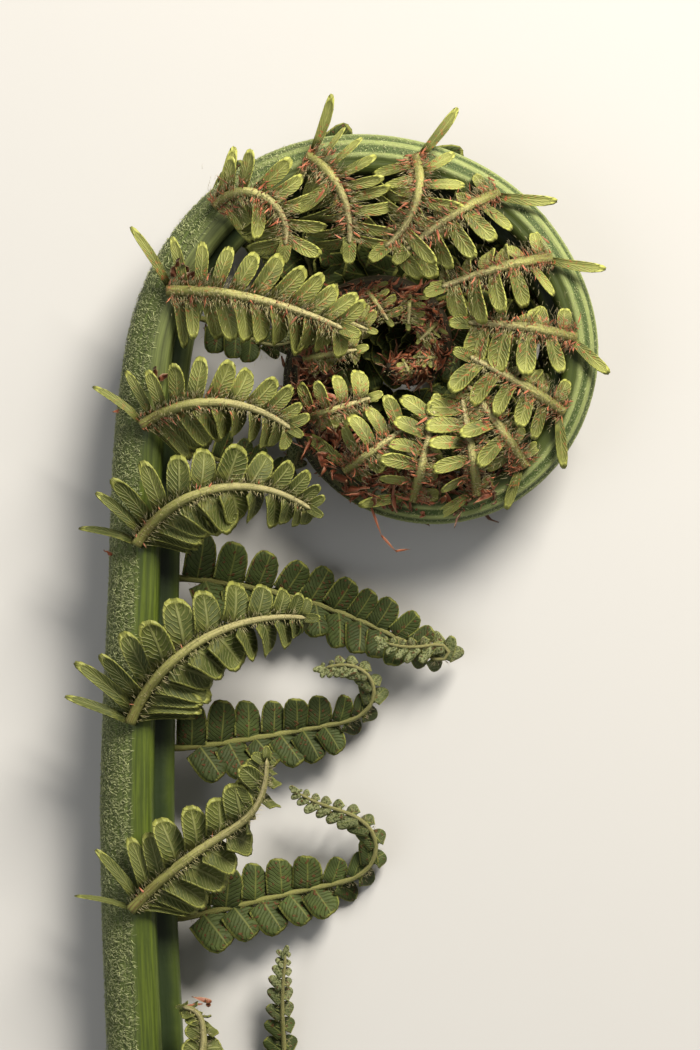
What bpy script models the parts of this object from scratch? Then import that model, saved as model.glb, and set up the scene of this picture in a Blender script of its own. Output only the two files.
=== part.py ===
"""Young fern frond, its tip still coiled, cut from the plant and lying on its side.

The stalk (rachis) runs straight and then coils clockwise about the heart of the
crozier. Leaflets (pinnae) stand along it in pairs, one row on the near side, which
looks up, and one on the far side, which lies on the ground.

Everything is laid out in millimetres in a flat construction plane whose origin is the
heart of the crozier: X across the stalk, Y along it, Z from the far row to the near
row. The whole frond is then tilted by a few degrees, because the thick cut end and the
deeper crozier both rest on the ground, and moved until the ground is at Z = 0.
"""

import math
from collections import namedtuple

import bmesh
import bpy
import numpy as np
from mathutils import Matrix

NAME = "fern_frond"
MM = 0.001
GAP = 0.3

# Straight stalk: (x, y, radius), from the cut end up to the shoulder.
STALK = (
    (-24.3, -89.5, 4.05),
    (-25.4, -69.5, 3.95),
    (-26.2, -44.5, 3.8),
    (-25.6, -24.5, 3.65),
    (-24.7, -4.5, 3.5),
)

# Crozier: (distance from the heart, radius) every 45 degrees, clockwise.
COIL_START = 174.0
COIL_STEP = 45.0
COIL_TRACE = 5.0
COIL = (
    (23.8, 3.4), (21.4, 3.1), (18.6, 2.8), (17.4, 2.6),
    (17.3, 2.5), (16.4, 2.3), (14.1, 2.1), (11.5, 1.9),
    (9.3, 1.7), (7.6, 1.5), (6.2, 1.3), (4.9, 1.1),
    (3.8, 0.95), (2.8, 0.8), (2.0, 0.65), (1.2, 0.5),
)

# Cross-section of the stalk: round outside, with a groove between two ridges inside.
PROFILE_POINTS = 18
GROOVE_DEPTH = 0.42
GROOVE_WIDTH = 19.0
STALK_TWIST = -38.0
STALK_RING = 7.0
COIL_RING = 14.0

# The frond is deeper at the crozier than at its cut end.
DEPTH_AT_CUT = 4.05
DEPTH_SLOPE = 0.042

# Leaflets: rows of lobes are modelled coarsely, the thickness falls off to the margin.
MIDRIB_THICKNESS = 0.8
FULL_LOBE = 3.4
MARGIN_SHARE = 0.5
NOTCH = 0.62
LOBE_ANGLE = 72.0
LOBE_SHARE = ((0.0, 0.06, 0.15, 0.45, 0.85, 1.0), (0.9, 1.2, 1.0, 0.9, 0.6, 0.25))
FAN_REACH = 0.1
COLUMNS = 4
HOOK_RELAX = 0.25

# Where the near leaflets sit across the stalk, as a share of its radius towards the
# inside of the coil: (distance along the stalk, share).
SEAT = ((0.0, -0.2), (96.0, -0.22), (105.0, -0.45), (135.0, -0.4), (146.0, -0.1), (225.0, 0.1))

# A leaflet's place along the stalk, its length, its lean from the stalk's heading, its
# turn over the whole length, the hook at its tip and where that starts and ends, how
# far the lowest lobes fan back, the longest lobe, the midrib's height at its middle and tip as
# a share of the frond's half depth, and the lobes on each side.
Leaflet = namedtuple(
    "Leaflet", "along length lean turn hook hook_from hook_to fan lobe middle tip lobes")

NEAR = (
    Leaflet(13.3, 17.2, -77, 110, 70, 0.60, 1.00, 40, 3.4, 1.30, 1.30, 8),
    Leaflet(34.3, 21.5, -44, -30, 70, 0.55, 1.00, 80, 5.2, 1.15, 1.45, 8),
    Leaflet(52.8, 22.0, -20, -75, 0, 0.60, 1.00, 40, 5.4, 1.10, 0.62, 8),
    Leaflet(70.5, 20.0, -30, -95, 0, 0.60, 1.00, 60, 5.0, 1.05, 0.80, 8),
    Leaflet(82.3, 16.0, -50, -73, 0, 0.60, 1.00, 55, 4.6, 1.00, 0.75, 7),
    Leaflet(95.8, 18.2, -68, -25, 0, 0.60, 1.00, 95, 5.0, 0.98, 0.85, 8),
    Leaflet(105.0, 10.4, 1, -160, 0, 0.60, 1.00, 0, 4.2, 0.92, 0.75, 5),
    Leaflet(114.9, 8.8, -48, -72, 0, 0.60, 1.00, 45, 4.4, 0.92, 0.75, 5),
    Leaflet(125.2, 9.5, -60, -80, 0, 0.60, 1.00, 56, 4.6, 0.90, 0.72, 5),
    Leaflet(134.0, 9.0, -128, 24, 0, 0.60, 1.00, 120, 4.4, 0.90, 0.75, 5),
    Leaflet(142.0, 11.0, -110, 8, 0, 0.60, 1.00, 130, 4.4, 0.90, 0.70, 5),
    Leaflet(150.3, 10.2, -108, 10, 0, 0.60, 1.00, 130, 4.5, 0.90, 0.70, 5),
    Leaflet(157.8, 9.4, -102, 13, 0, 0.60, 1.00, 60, 3.8, 0.92, 0.72, 5),
    Leaflet(164.4, 7.4, -114, 10, 0, 0.60, 1.00, 80, 3.4, 0.86, 0.70, 4),
    Leaflet(170.0, 7.0, -95, 5, 0, 0.60, 1.00, 50, 3.4, 0.86, 0.70, 4),
    Leaflet(176.5, 6.6, -87, 0, 0, 0.60, 1.00, 40, 3.3, 0.84, 0.66, 4),
    Leaflet(184.0, 5.8, -80, 0, 0, 0.60, 1.00, 30, 3.0, 0.78, 0.62, 4),
    Leaflet(190.5, 5.0, -75, 0, 0, 0.60, 1.00, 20, 2.5, 0.68, 0.60, 3),
)

# The first six leaflets of the far row spread beside the stalk.
FAR_SPREADING = 6
FAR = (
    Leaflet(11.3, 23.5, -77, 20, 65, 0.20, 0.58, 20, 3.2, 0.75, 0.20, 8),
    Leaflet(33.0, 30.0, -78, 0, 142, 0.44, 0.86, 20, 3.5, 0.70, 0.10, 8),
    Leaflet(50.3, 28.0, -83, 10, 180, 0.56, 1.00, 20, 3.6, 0.68, 0.10, 8),
    Leaflet(67.3, 33.5, -95, -30, 165, 0.74, 1.00, 20, 3.8, 0.68, 0.30, 8),
    Leaflet(80.0, 12.8, -97, -10, 100, 0.60, 1.00, 20, 3.0, 0.60, 0.30, 7),
    Leaflet(94.5, 9.5, -96, 8, 40, 0.60, 1.00, 20, 2.8, 0.10, -0.20, 5),
    Leaflet(104.4, 10.0, -4, -150, 0, 0.60, 1.00, 0, 4.0, 0.86, 0.70, 5),
    Leaflet(115.2, 9.2, -50, -70, 0, 0.60, 1.00, 50, 4.2, 0.88, 0.72, 5),
    Leaflet(124.8, 9.2, -64, -66, 0, 0.60, 1.00, 60, 4.3, 0.88, 0.70, 5),
    Leaflet(134.0, 9.3, -115, 10, 0, 0.60, 1.00, 100, 4.2, 0.88, 0.72, 5),
    Leaflet(142.5, 10.4, -108, 6, 0, 0.60, 1.00, 110, 4.2, 0.88, 0.70, 5),
    Leaflet(150.5, 10.0, -106, 9, 0, 0.60, 1.00, 110, 4.2, 0.88, 0.70, 5),
    Leaflet(158.0, 9.2, -104, 12, 0, 0.60, 1.00, 80, 3.9, 0.88, 0.70, 5),
    Leaflet(164.5, 7.6, -108, 10, 0, 0.60, 1.00, 70, 3.5, 0.86, 0.70, 4),
    Leaflet(170.5, 7.0, -94, 5, 0, 0.60, 1.00, 50, 3.3, 0.84, 0.68, 4),
    Leaflet(177.0, 6.4, -86, 0, 0, 0.60, 1.00, 40, 3.1, 0.82, 0.66, 4),
    Leaflet(184.3, 5.6, -80, 0, 0, 0.60, 1.00, 30, 2.8, 0.76, 0.62, 4),
    Leaflet(191.0, 4.8, -75, 0, 0, 0.60, 1.00, 20, 2.3, 0.66, 0.58, 3),
)

# Heart: the youngest pairs, which shrink towards the very tip of the stalk.
HEART_PAIRS = 7
HEART_START = 196.5
HEART_END = 222.0
HEART_SHRINK = 0.82
HEART = Leaflet(0.0, 4.2, -68, 0, 0, 0.60, 1.00, 15, 2.2, 0.56, 0.50, 3)

GREEN_STALK = (0.20, 0.26, 0.04, 1.0)
GREEN_NEAR = (0.26, 0.31, 0.06, 1.0)
GREEN_FAR = (0.10, 0.15, 0.03, 1.0)
LEAF_ROUGHNESS = 0.55


def smooth(at, stations, values):
    """Cubic curve through the values, with the slope of their neighbours at each."""
    stations = np.asarray(stations, float)
    values = np.asarray(values, float)
    slopes = np.gradient(values, stations, axis=0)
    k = np.clip(np.searchsorted(stations, at, side="right") - 1, 0, len(stations) - 2)
    span = (stations[k + 1] - stations[k])[:, None]
    t = (at[:, None] - stations[k][:, None]) / span
    start = (1 + 2 * t) * (1 - t) ** 2 * values[k] + t * (1 - t) ** 2 * span * slopes[k]
    end = t * t * (3 - 2 * t) * values[k + 1] + t * t * (t - 1) * span * slopes[k + 1]
    return start + end


def ease(t):
    t = np.clip(t, 0.0, 1.0)
    return t * t * (3 - 2 * t)


def half_depth(y):
    """Half the frond's depth at a height along the stalk."""
    return DEPTH_AT_CUT + DEPTH_SLOPE * (y - STALK[0][1])


class StalkLine:
    """Centre line of the stalk, read by distance from the cut end."""

    def __init__(self):
        turns = np.arange(0.0, COIL_STEP * (len(COIL) - 1) + 0.1, COIL_TRACE)
        coil = smooth(turns, COIL_STEP * np.arange(len(COIL)), COIL)
        angle = np.radians(COIL_START - turns)
        around = np.column_stack((coil[:, 0] * np.cos(angle), coil[:, 0] * np.sin(angle), coil[:, 1]))
        self.points = np.vstack((STALK, around))
        steps = np.linalg.norm(np.diff(self.points[:, :2], axis=0), axis=1)
        self.stations = np.concatenate(([0.0], np.cumsum(steps)))
        self.length = self.stations[-1]
        self.bend_start = self.stations[len(STALK) - 1]

    def at(self, along):
        """Centre, heading in radians and radius at each distance."""
        along = np.atleast_1d(np.asarray(along, float))
        here = smooth(along, self.stations, self.points)
        step = 0.2
        ahead = smooth(along + step, self.stations, self.points)
        behind = smooth(along - step, self.stations, self.points)
        way = ahead[:, :2] - behind[:, :2]
        return here[:, :2], np.arctan2(way[:, 1], way[:, 0]), here[:, 2]

    def rings(self):
        """Distances of the modelled rings: wide apart on the stalk, closer in the coil."""
        along = [0.0]
        while along[-1] < self.length:
            radius = np.hypot(*self.at(along[-1])[0][0])
            straight = along[-1] < self.bend_start
            step = STALK_RING if straight else max(0.6, math.radians(COIL_RING) * radius)
            along.append(along[-1] + step)
        along[-1] = self.length
        return np.array(along)


def material(name, colour):
    made = bpy.data.materials.new(name)
    made.use_nodes = True
    shader = made.node_tree.nodes["Principled BSDF"]
    shader.inputs["Base Color"].default_value = colour
    shader.inputs["Roughness"].default_value = LEAF_ROUGHNESS
    shader.inputs["Metallic"].default_value = 0.0
    return made


def profile_curve(collection):
    """Closed outline of the stalk's section, the groove towards +X."""
    data = bpy.data.curves.new("stalk_section", "CURVE")
    data.dimensions = "2D"
    spline = data.splines.new("POLY")
    spline.points.add(PROFILE_POINTS - 1)
    spline.use_cyclic_u = True
    for k, point in enumerate(spline.points):
        angle = -360.0 * k / PROFILE_POINTS
        away = min(-angle, 360.0 + angle)
        reach = 1.0 - GROOVE_DEPTH * math.exp(-((away / GROOVE_WIDTH) ** 2))
        x = reach * math.cos(math.radians(angle)) * MM
        y = reach * math.sin(math.radians(angle)) * MM
        point.co = (x, y, 0.0, 1.0)
    section = bpy.data.objects.new("stalk_section", data)
    section.hide_render = True
    section.display_type = "WIRE"
    collection.objects.link(section)
    return section


def add_rachis(line, collection, guides):
    """The stalk: the grooved section swept along its line, tapering to the tip."""
    along = line.rings()
    centre, _, radius = line.at(along)
    data = bpy.data.curves.new("rachis", "CURVE")
    data.dimensions = "3D"
    data.twist_mode = "Z_UP"
    data.bevel_mode = "OBJECT"
    data.bevel_object = profile_curve(guides)
    data.use_fill_caps = True
    data.resolution_u = 1
    spline = data.splines.new("POLY")
    spline.points.add(len(along) - 1)
    for point, (x, y), size in zip(spline.points, centre, radius):
        point.co = (x * MM, y * MM, 0.0, 1.0)
        point.radius = size
        point.tilt = math.radians(STALK_TWIST)
    spline.use_smooth = True
    rachis = bpy.data.objects.new("rachis", data)
    rachis.data.materials.append(material("stalk_green", GREEN_STALK))
    collection.objects.link(rachis)
    return rachis


def thickness(lobe):
    """Thickness at the midrib: small leaflets are thinner."""
    return MIDRIB_THICKNESS * min(1.0, lobe / FULL_LOBE)


def midrib(line, leaf, side, spreading):
    """Points and headings along a leaflet's midrib."""
    centre, heading, radius = line.at(leaf.along)
    centre, heading, radius = centre[0], heading[0], radius[0]
    inward = np.array((math.sin(heading), -math.cos(heading)))
    if spreading:
        start = centre + inward * (radius + GAP + 0.1)
        height = 0.3 * radius
    else:
        start = centre + inward * radius * np.interp(leaf.along, *zip(*SEAT))
        height = radius + GAP + thickness(leaf.lobe) / 2
    t = np.linspace(0.0, 1.0, 2 * leaf.lobes + 1)
    hooked = ease((t - leaf.hook_from) / (leaf.hook_to - leaf.hook_from))
    hooked -= HOOK_RELAX * ease((t - leaf.hook_to) / max(1.0 - leaf.hook_to, GAP))
    headings = heading + np.radians(leaf.lean + leaf.turn * t + leaf.hook * hooked)
    step = leaf.length / (len(t) - 1)
    between = (headings[1:] + headings[:-1]) / 2
    moves = step * np.column_stack((np.cos(between), np.sin(between)))
    plan = start + np.vstack(((0.0, 0.0), np.cumsum(moves, axis=0)))
    middle = leaf.middle * half_depth(start[1])
    tip = leaf.tip * half_depth(start[1])
    z = height + (middle - height) * ease(t / 0.4) + (tip - middle) * ease((t - 0.4) / 0.6)
    return t, np.column_stack((plan, side * z)), headings


def add_pinna(name, line, leaf, side, spreading, look, collection):
    """A leaflet: a grid laid along its midrib, lobed at both margins, and thickened.

    The upper half of each leaflet lies open. The lower half folds back under it.
    """
    t, rib, headings = midrib(line, leaf, side, spreading)
    bm = bmesh.new()
    bmesh.ops.create_grid(bm, x_segments=2 * leaf.lobes, y_segments=COLUMNS, size=1.0)
    weights = {}
    for vert in bm.verts:
        k = round((vert.co.x + 1) * leaf.lobes)
        across = vert.co.y
        opened = float(ease(t[k] / 0.3))
        reach = leaf.lobe * float(np.interp(t[k], *LOBE_SHARE)) * (1.0 if k % 2 else NOTCH)
        if across > 0:
            way = headings[k] + math.radians(LOBE_ANGLE + leaf.fan * math.exp(-t[k] / FAN_REACH))
            fold = math.radians(-4.0)
        else:
            way = headings[k] - math.radians(LOBE_ANGLE)
            fold = math.radians(12.0 + 50.0 * opened)
            reach *= 0.3 + 0.6 * opened
        if spreading:
            fold *= 0.4
        out = abs(across) * reach
        flat = out * math.cos(fold)
        vert.co.x = rib[k][0] + flat * math.cos(way)
        vert.co.y = rib[k][1] + flat * math.sin(way)
        vert.co.z = rib[k][2] - side * out * math.sin(fold)
        vert.co *= MM
        weights[vert.index] = 1.0 - (1.0 - MARGIN_SHARE) * abs(across)
    mesh = bpy.data.meshes.new(name)
    bm.to_mesh(mesh)
    bm.free()
    mesh.shade_smooth()
    mesh.materials.append(look)
    pinna = bpy.data.objects.new(name, mesh)
    collection.objects.link(pinna)
    group = pinna.vertex_groups.new(name="thickness")
    for index, weight in weights.items():
        group.add((index,), weight, "REPLACE")
    solid = pinna.modifiers.new("Solidify", "SOLIDIFY")
    solid.thickness = thickness(leaf.lobe) * MM
    solid.offset = 0.0
    solid.vertex_group = "thickness"
    return pinna


def heart_leaves():
    """The youngest leaflets, each a little smaller than the one before."""
    for k in range(HEART_PAIRS):
        share = k / (HEART_PAIRS - 1)
        size = HEART_SHRINK ** k
        sunk = 0.4 + 0.6 * size
        yield HEART._replace(
            along=HEART_START + (HEART_END - HEART_START) * (1.25 * share - 0.25 * share * share),
            length=HEART.length * size, lobe=HEART.lobe * size,
            middle=HEART.middle * sunk, tip=HEART.tip * sunk)


def settle(parts, frame):
    """Tilt the frond onto its cut end and its crozier, its box centred over the origin."""
    tilt = Matrix.Rotation(math.atan(DEPTH_SLOPE), 4, "X")
    frame.matrix_world = tilt
    bpy.context.view_layer.update()
    graph = bpy.context.evaluated_depsgraph_get()
    corners = []
    for part in parts:
        shape = part.evaluated_get(graph)
        mesh = shape.to_mesh()
        corners += [tilt @ vert.co for vert in mesh.vertices]
        shape.to_mesh_clear()
    cloud = np.array(corners)
    low = cloud.min(axis=0)
    high = cloud.max(axis=0)
    middle = (low + high) / 2
    frame.matrix_world = Matrix.Translation((-middle[0], -middle[1], -low[2])) @ tilt


def main():
    for old in list(bpy.data.objects):
        bpy.data.objects.remove(old)
    collection = bpy.data.collections.new(NAME)
    guides = bpy.data.collections.new("guides")
    bpy.context.scene.collection.children.link(collection)
    bpy.context.scene.collection.children.link(guides)
    line = StalkLine()
    parts = [add_rachis(line, collection, guides)]
    near_look = material("leaflet_underside", GREEN_NEAR)
    far_look = material("leaflet_upperside", GREEN_FAR)
    heart = tuple(heart_leaves())
    for k, leaf in enumerate(NEAR + heart):
        name = f"pinna_near_{k + 1:02d}"
        parts.append(add_pinna(name, line, leaf, 1, False, near_look, collection))
    for k, leaf in enumerate(FAR + heart):
        name = f"pinna_far_{k + 1:02d}"
        parts.append(add_pinna(name, line, leaf, -1, k < FAR_SPREADING, far_look, collection))
    frame = bpy.data.objects.new("frame", None)
    collection.objects.link(frame)
    for part in parts:
        part.parent = frame
    settle(parts, frame)


main()
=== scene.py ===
"""Looks of a young fern frond: stalk skin, hairs, leaflets, papery scales and the studio.

The frond is laid out in millimetres in a flat plane whose origin is the heart of the
crozier: X across the stalk, Y along it, Z from the far row of leaflets to the near row.
It is then tilted and moved as a whole, so that its stalk lies on the frame's own stalk.
"""

import math
from collections import namedtuple

import bpy
import numpy as np
from mathutils import Matrix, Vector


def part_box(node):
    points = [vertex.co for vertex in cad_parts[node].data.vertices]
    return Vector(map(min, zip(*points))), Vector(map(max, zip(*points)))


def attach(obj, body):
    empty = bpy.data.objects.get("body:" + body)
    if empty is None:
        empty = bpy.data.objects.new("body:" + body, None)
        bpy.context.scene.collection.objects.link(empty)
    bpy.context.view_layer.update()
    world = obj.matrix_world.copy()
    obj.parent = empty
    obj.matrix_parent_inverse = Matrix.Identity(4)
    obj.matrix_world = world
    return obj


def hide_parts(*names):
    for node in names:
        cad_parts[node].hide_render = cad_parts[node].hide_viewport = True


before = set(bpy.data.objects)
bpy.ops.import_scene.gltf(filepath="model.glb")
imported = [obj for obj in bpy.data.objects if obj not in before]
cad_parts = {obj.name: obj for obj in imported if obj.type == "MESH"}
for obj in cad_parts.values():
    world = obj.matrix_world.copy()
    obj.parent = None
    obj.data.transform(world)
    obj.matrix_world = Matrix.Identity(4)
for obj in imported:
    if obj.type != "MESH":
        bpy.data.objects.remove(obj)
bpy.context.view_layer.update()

bl_info = {
    "name": "Young Fern Frond",
    "version": (1, 0, 0),
    "blender": (4, 5, 0),
    "location": "3D View > Sidebar > Fern",
    "description": "Builds a coiled fern frond with its hairs, leaflets and scales",
    "category": "Add Mesh",
}

MM = 0.001

# Clearance between the stalk and a leaflet's midrib in the frame.
GAP = 0.3

# Straight stalk: (x, y, radius), from the cut end up to the shoulder.
STALK = (
    (-24.3, -89.5, 4.05),
    (-25.4, -69.5, 3.95),
    (-26.2, -44.5, 3.8),
    (-25.6, -24.5, 3.65),
    (-24.7, -4.5, 3.5),
)

# Crozier: (distance from the heart, radius) every 45 degrees, clockwise. Headings are read
# a small step to either side.
HEADING_STEP = 0.2
COIL_START = 174.0
COIL_STEP = 45.0
COIL_TRACE = 5.0
COIL = (
    (23.8, 3.4), (21.4, 3.1), (18.6, 2.8), (17.4, 2.6),
    (17.3, 2.5), (16.4, 2.3), (14.1, 2.1), (11.5, 1.9),
    (9.3, 1.7), (7.6, 1.5), (6.2, 1.3), (4.9, 1.1),
    (3.8, 0.95), (2.8, 0.8), (2.0, 0.65), (1.2, 0.5),
)

# Section of the stalk: a groove between two ridges, turned up from the inside of the coil.
GROOVE_DEPTH = 0.42
GROOVE_WIDTH = 19.0
GROOVE_TURN = 38.0

# The frame's own stalk: points of a ring, and the steps between its rings.
FRAME_POINTS = 18
FRAME_RING = 7.0
FRAME_TURN = 14.0

# Distances from the cut end over which the skin and the leaflets change.
RIDGED = (92.0, 128.0)
# Over SHOULDER the smooth strip is painted paler, as painted light over the coil's top.
SHOULDER = ((74.0, 98.0), (106.0, 126.0))
# Over the last stretch the skin turns brown like the heart, darkened further as painted shade.
BROWN_SKIN_AND_SHADE = (172.0, 190.0)
YOUNG = (62.0, 117.0)
TUCKED = (120.0, 134.0)

# The frond's half depth at the cut end and its growth along the stalk.
DEPTH_AT_CUT = 4.05
DEPTH_SLOPE = 0.042

# Midribs: the frame's thickness and the lobe that it is for, steps along, share that is
# the foot, taper, the share of its turn that a hook gives back past its end, and how far
# out in the stalk it is rooted and how high a spreading one starts, as shares of the radius.
MIDRIB_THICKNESS = 0.8
FULL_LOBE = 3.4
RIB_STEPS = 40
FOOT = 0.08
COSTA_TAPER = 0.6
HOOK_RELAX = 0.25
ROOT_REACH = 0.55
SPREADING_HEIGHT = 0.3

# Lobes: length by place along an old and a young leaflet, how far the lowest ones fan,
# how much wider the far ones are in the coil, and the section of a lobe.
LOBE_SHARE = ((0.0, 0.06, 0.15, 0.45, 0.85, 1.0), (1.1, 1.2, 0.98, 0.8, 0.58, 0.28))
YOUNG_SHARE = ((0.0, 0.06, 0.14, 0.45, 0.85, 1.0), (1.3, 1.2, 0.8, 0.92, 0.9, 0.72))
FAN_REACH = (0.05, 0.28)
FAR_FILL = 1.55
ROLL_OF_MARGIN = 0.24
RISE_OF_VEIN = 0.06

# Where the near leaflets sit across the stalk, as a share of its radius.
SEAT = ((0.0, -0.2), (96.0, -0.22), (105.0, -0.45), (135.0, -0.4), (146.0, -0.1), (225.0, 0.1))

# A leaflet's place along the stalk, its length, its lean from the stalk's heading, its
# turn over the whole length, how far the lowest lobes fan back, the longest lobe, and the
# midrib's height at its middle and tip as a share of the frond's half depth. Some also
# have a hook at the tip, and where that starts and ends as a share of the length.
Leaflet = namedtuple("Leaflet", "along length lean turn fan lobe middle tip hook hook_from hook_to",
                     defaults=(0, 0.6, 1.0))


def leaflets(*rows):
    return tuple(Leaflet(*row) for row in rows)


NEAR = leaflets(
    (13.3, 15.8, -77, 102, 52, 2.5, 1.30, 1.30, 60, 0.80, 1.00),
    (34.3, 21.5, -44, -30, 76, 4.7, 1.15, 1.45, 70, 0.55, 1.00),
    (52.8, 22.0, -20, -75, 46, 5.4, 1.10, 0.62),
    (70.5, 20.0, -30, -95, 48, 5.0, 1.05, 0.80),
    (82.3, 16.0, -50, -73, 50, 4.6, 1.00, 0.75),
    (95.8, 18.2, -68, -25, 62, 5.0, 0.98, 0.85),
    (105.0, 11.0, 1, -150, -45, 4.6, 0.92, 0.75),
    (114.9, 10.5, -48, -64, 18, 4.8, 0.92, 0.75),
    (125.2, 10.5, -60, -72, 56, 4.8, 0.90, 0.72),
    (134.0, 11.0, -120, 16, 85, 4.5, 0.95, 0.75),
    (142.0, 11.5, -110, 8, 90, 4.5, 0.95, 0.70),
    (150.3, 11.0, -108, 10, 90, 4.5, 0.95, 0.70),
    (157.8, 11.0, -102, 8, 60, 4.2, 0.92, 0.72),
    (164.4, 10.0, -100, 6, 60, 4.0, 0.86, 0.70),
    (170.0, 9.8, -102, 4, 50, 4.0, 0.86, 0.70),
    (176.5, 9.4, -97, 2, 40, 4.0, 0.84, 0.66),
    (184.0, 8.0, -104, 0, 30, 3.8, 0.78, 0.62),
    (190.5, 6.6, -92, 0, 20, 3.2, 0.72, 0.60),
)

# The first six leaflets of the far row spread beside the stalk.
FAR_SPREADING = 6
FAR = leaflets(
    (11.3, 23.5, -77, 20, 20, 3.2, 0.75, 0.20, 65, 0.20, 0.58),
    (33.0, 32.0, -80, 0, 20, 3.6, 0.70, 0.10, 150, 0.48, 0.86),
    (50.3, 28.0, -83, 10, 20, 3.6, 0.68, 0.10, 180, 0.56, 1.00),
    (67.3, 35.5, -93, -36, 20, 3.8, 0.68, 0.20, 225, 0.74, 0.85),
    (80.0, 12.8, -97, -10, 20, 3.0, 0.60, 0.30, 100),
    (94.5, 9.5, -96, 8, 20, 2.8, 0.10, -0.20, 40),
    (104.4, 14.0, -24, -110, -60, 5.4, 0.86, 0.70),
    (115.2, 13.0, -62, -50, 50, 5.4, 0.88, 0.72),
    (124.8, 13.0, -74, -40, 60, 5.4, 0.88, 0.70),
    (134.0, 13.0, -108, 10, 100, 5.4, 0.88, 0.72),
    (142.5, 13.0, -104, 6, 110, 5.3, 0.88, 0.70),
    (150.5, 12.5, -103, 9, 110, 5.2, 0.88, 0.70),
    (158.0, 12.0, -100, 6, 80, 5.0, 0.88, 0.70),
    (164.5, 11.0, -100, 6, 70, 4.8, 0.86, 0.70),
    (170.5, 10.5, -98, 5, 50, 4.8, 0.84, 0.68),
    (177.0, 9.6, -94, 0, 40, 4.6, 0.82, 0.66),
    (184.3, 8.2, -98, 0, 30, 4.4, 0.76, 0.62),
    (191.0, 6.6, -90, 0, 20, 3.0, 0.70, 0.58),
)

# Heart: the youngest pairs, which shrink and crowd towards the very tip of the stalk, and
# how much fuller than the shape below they are on the near and the far side.
HEART_PAIRS = 7
HEART_START = 196.5
HEART_END = 222.0
HEART_SHRINK = 0.82
HEART_CROWD = 0.25
NEAR_FULLNESS = 1.3
FAR_FULLNESS = 2.1
HEART = Leaflet(0.0, 4.2, -68, 0, 15, 2.2, 0.56, 0.50)

# Angle between lobe and midrib: on the spreading far leaflets, and on the others by their
# place along the stalk.
SPREADING_ANGLE = 72.0
LOBE_ANGLE = ((70.0, 96.0, 116.0), (57.0, 57.0, 76.0))

# Distance between lobes along a leaflet, by the leaflet's length on the straight stalk
# and by its place along the stalk in the coil.
LOBE_SPACING = ((4.0, 9.0, 16.0, 22.0, 33.0), (0.75, 1.25, 1.5, 1.85, 1.95))
COIL_SPACING = ((96.0, 105.0, 118.0, 130.0, 150.0, 165.0, 192.0, 198.0, 222.0),
                (1.75, 1.3, 1.15, 1.6, 2.2, 1.8, 1.5, 1.0, 0.5))

# Hairs: the angle and the distance at which they start, where the coil's are parted and
# end, and how much they gather at its start.
HAIRY_FROM = 62.0
HAIRS_FROM = 0.3
COIL_HAIRS_PARTED = 142.0
COIL_HAIRS_END = 200.0
COIL_HAIRS_GATHER = 0.3

# Wool per millimetre of midrib, on an old and on a young leaflet, its width, the share that
# sits on the midrib and the angle in radians over which that share is spread. Scales per
# leaflet, on old and on young ones, the length of leaflet that has them all, and the
# scales of the heart and where they start.
WOOL = (20.0, 90.0)
WOOL_WIDTH = 0.042
WOOL_ON_TOP = 0.4
WOOL_TURN = 1.3
LEAFLET_SCALES = (4.0, 204.0)
FULLY_SCALED = 9.0
HEART_SCALES = 2700
HEART_SCALES_FROM = 165.0

# Seeds of the random draws.
HAIR_SEED = 11
SCALE_SEED = 31
NEAR_SEED = 100
FAR_SEED = 200


def smooth(at, stations, values):
    """Cubic curve through the values, with the slope of their neighbours at each."""
    stations = np.asarray(stations, float)
    values = np.asarray(values, float)
    slopes = np.gradient(values, stations, axis=0)
    k = np.clip(np.searchsorted(stations, at, side="right") - 1, 0, len(stations) - 2)
    span = (stations[k + 1] - stations[k])[:, None]
    t = (at[:, None] - stations[k][:, None]) / span
    start = (1 + 2 * t) * (1 - t) ** 2 * values[k] + t * (1 - t) ** 2 * span * slopes[k]
    end = t * t * (3 - 2 * t) * values[k + 1] + t * t * (t - 1) * span * slopes[k + 1]
    return start + end


def ease(t):
    t = np.clip(t, 0.0, 1.0)
    return t * t * (3 - 2 * t)


def grown(at, span):
    """Runs smoothly from 0 at the span's start to 1 at its end."""
    return ease((at - span[0]) / (span[1] - span[0]))


def between(pair, share):
    return pair[0] + (pair[1] - pair[0]) * share


def unit(vectors):
    return vectors / np.linalg.norm(vectors, axis=-1, keepdims=True)


def square_to(ways, others):
    """Ways turned square to the other ways, in the plane that both lie in."""
    return unit(ways - np.sum(ways * others, axis=1, keepdims=True) * others)


def turned(first, second, angle):
    """Ways turned from the first towards the second, by angles in radians."""
    angle = np.asarray(angle)[:, None]
    return np.cos(angle) * first + np.sin(angle) * second


def forward_way(heading):
    return np.column_stack((np.cos(heading), np.sin(heading), np.zeros(len(heading))))


def inward_way(heading):
    """Way across the stalk, towards the inside of its coil."""
    return np.column_stack((np.sin(heading), -np.cos(heading), np.zeros(len(heading))))


def random_tones(rng, mean, spread, count):
    return np.clip(rng.normal(mean, spread, count), 0.0, 1.0)


def half_depth(y):
    """Half the frond's depth at a height along the stalk."""
    return DEPTH_AT_CUT + DEPTH_SLOPE * (y - STALK[0][1])


def groove(around):
    """Share of the stalk's radius at an angle from the groove, in degrees."""
    return 1.0 - GROOVE_DEPTH * np.exp(-((around / GROOVE_WIDTH) ** 2))


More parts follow.
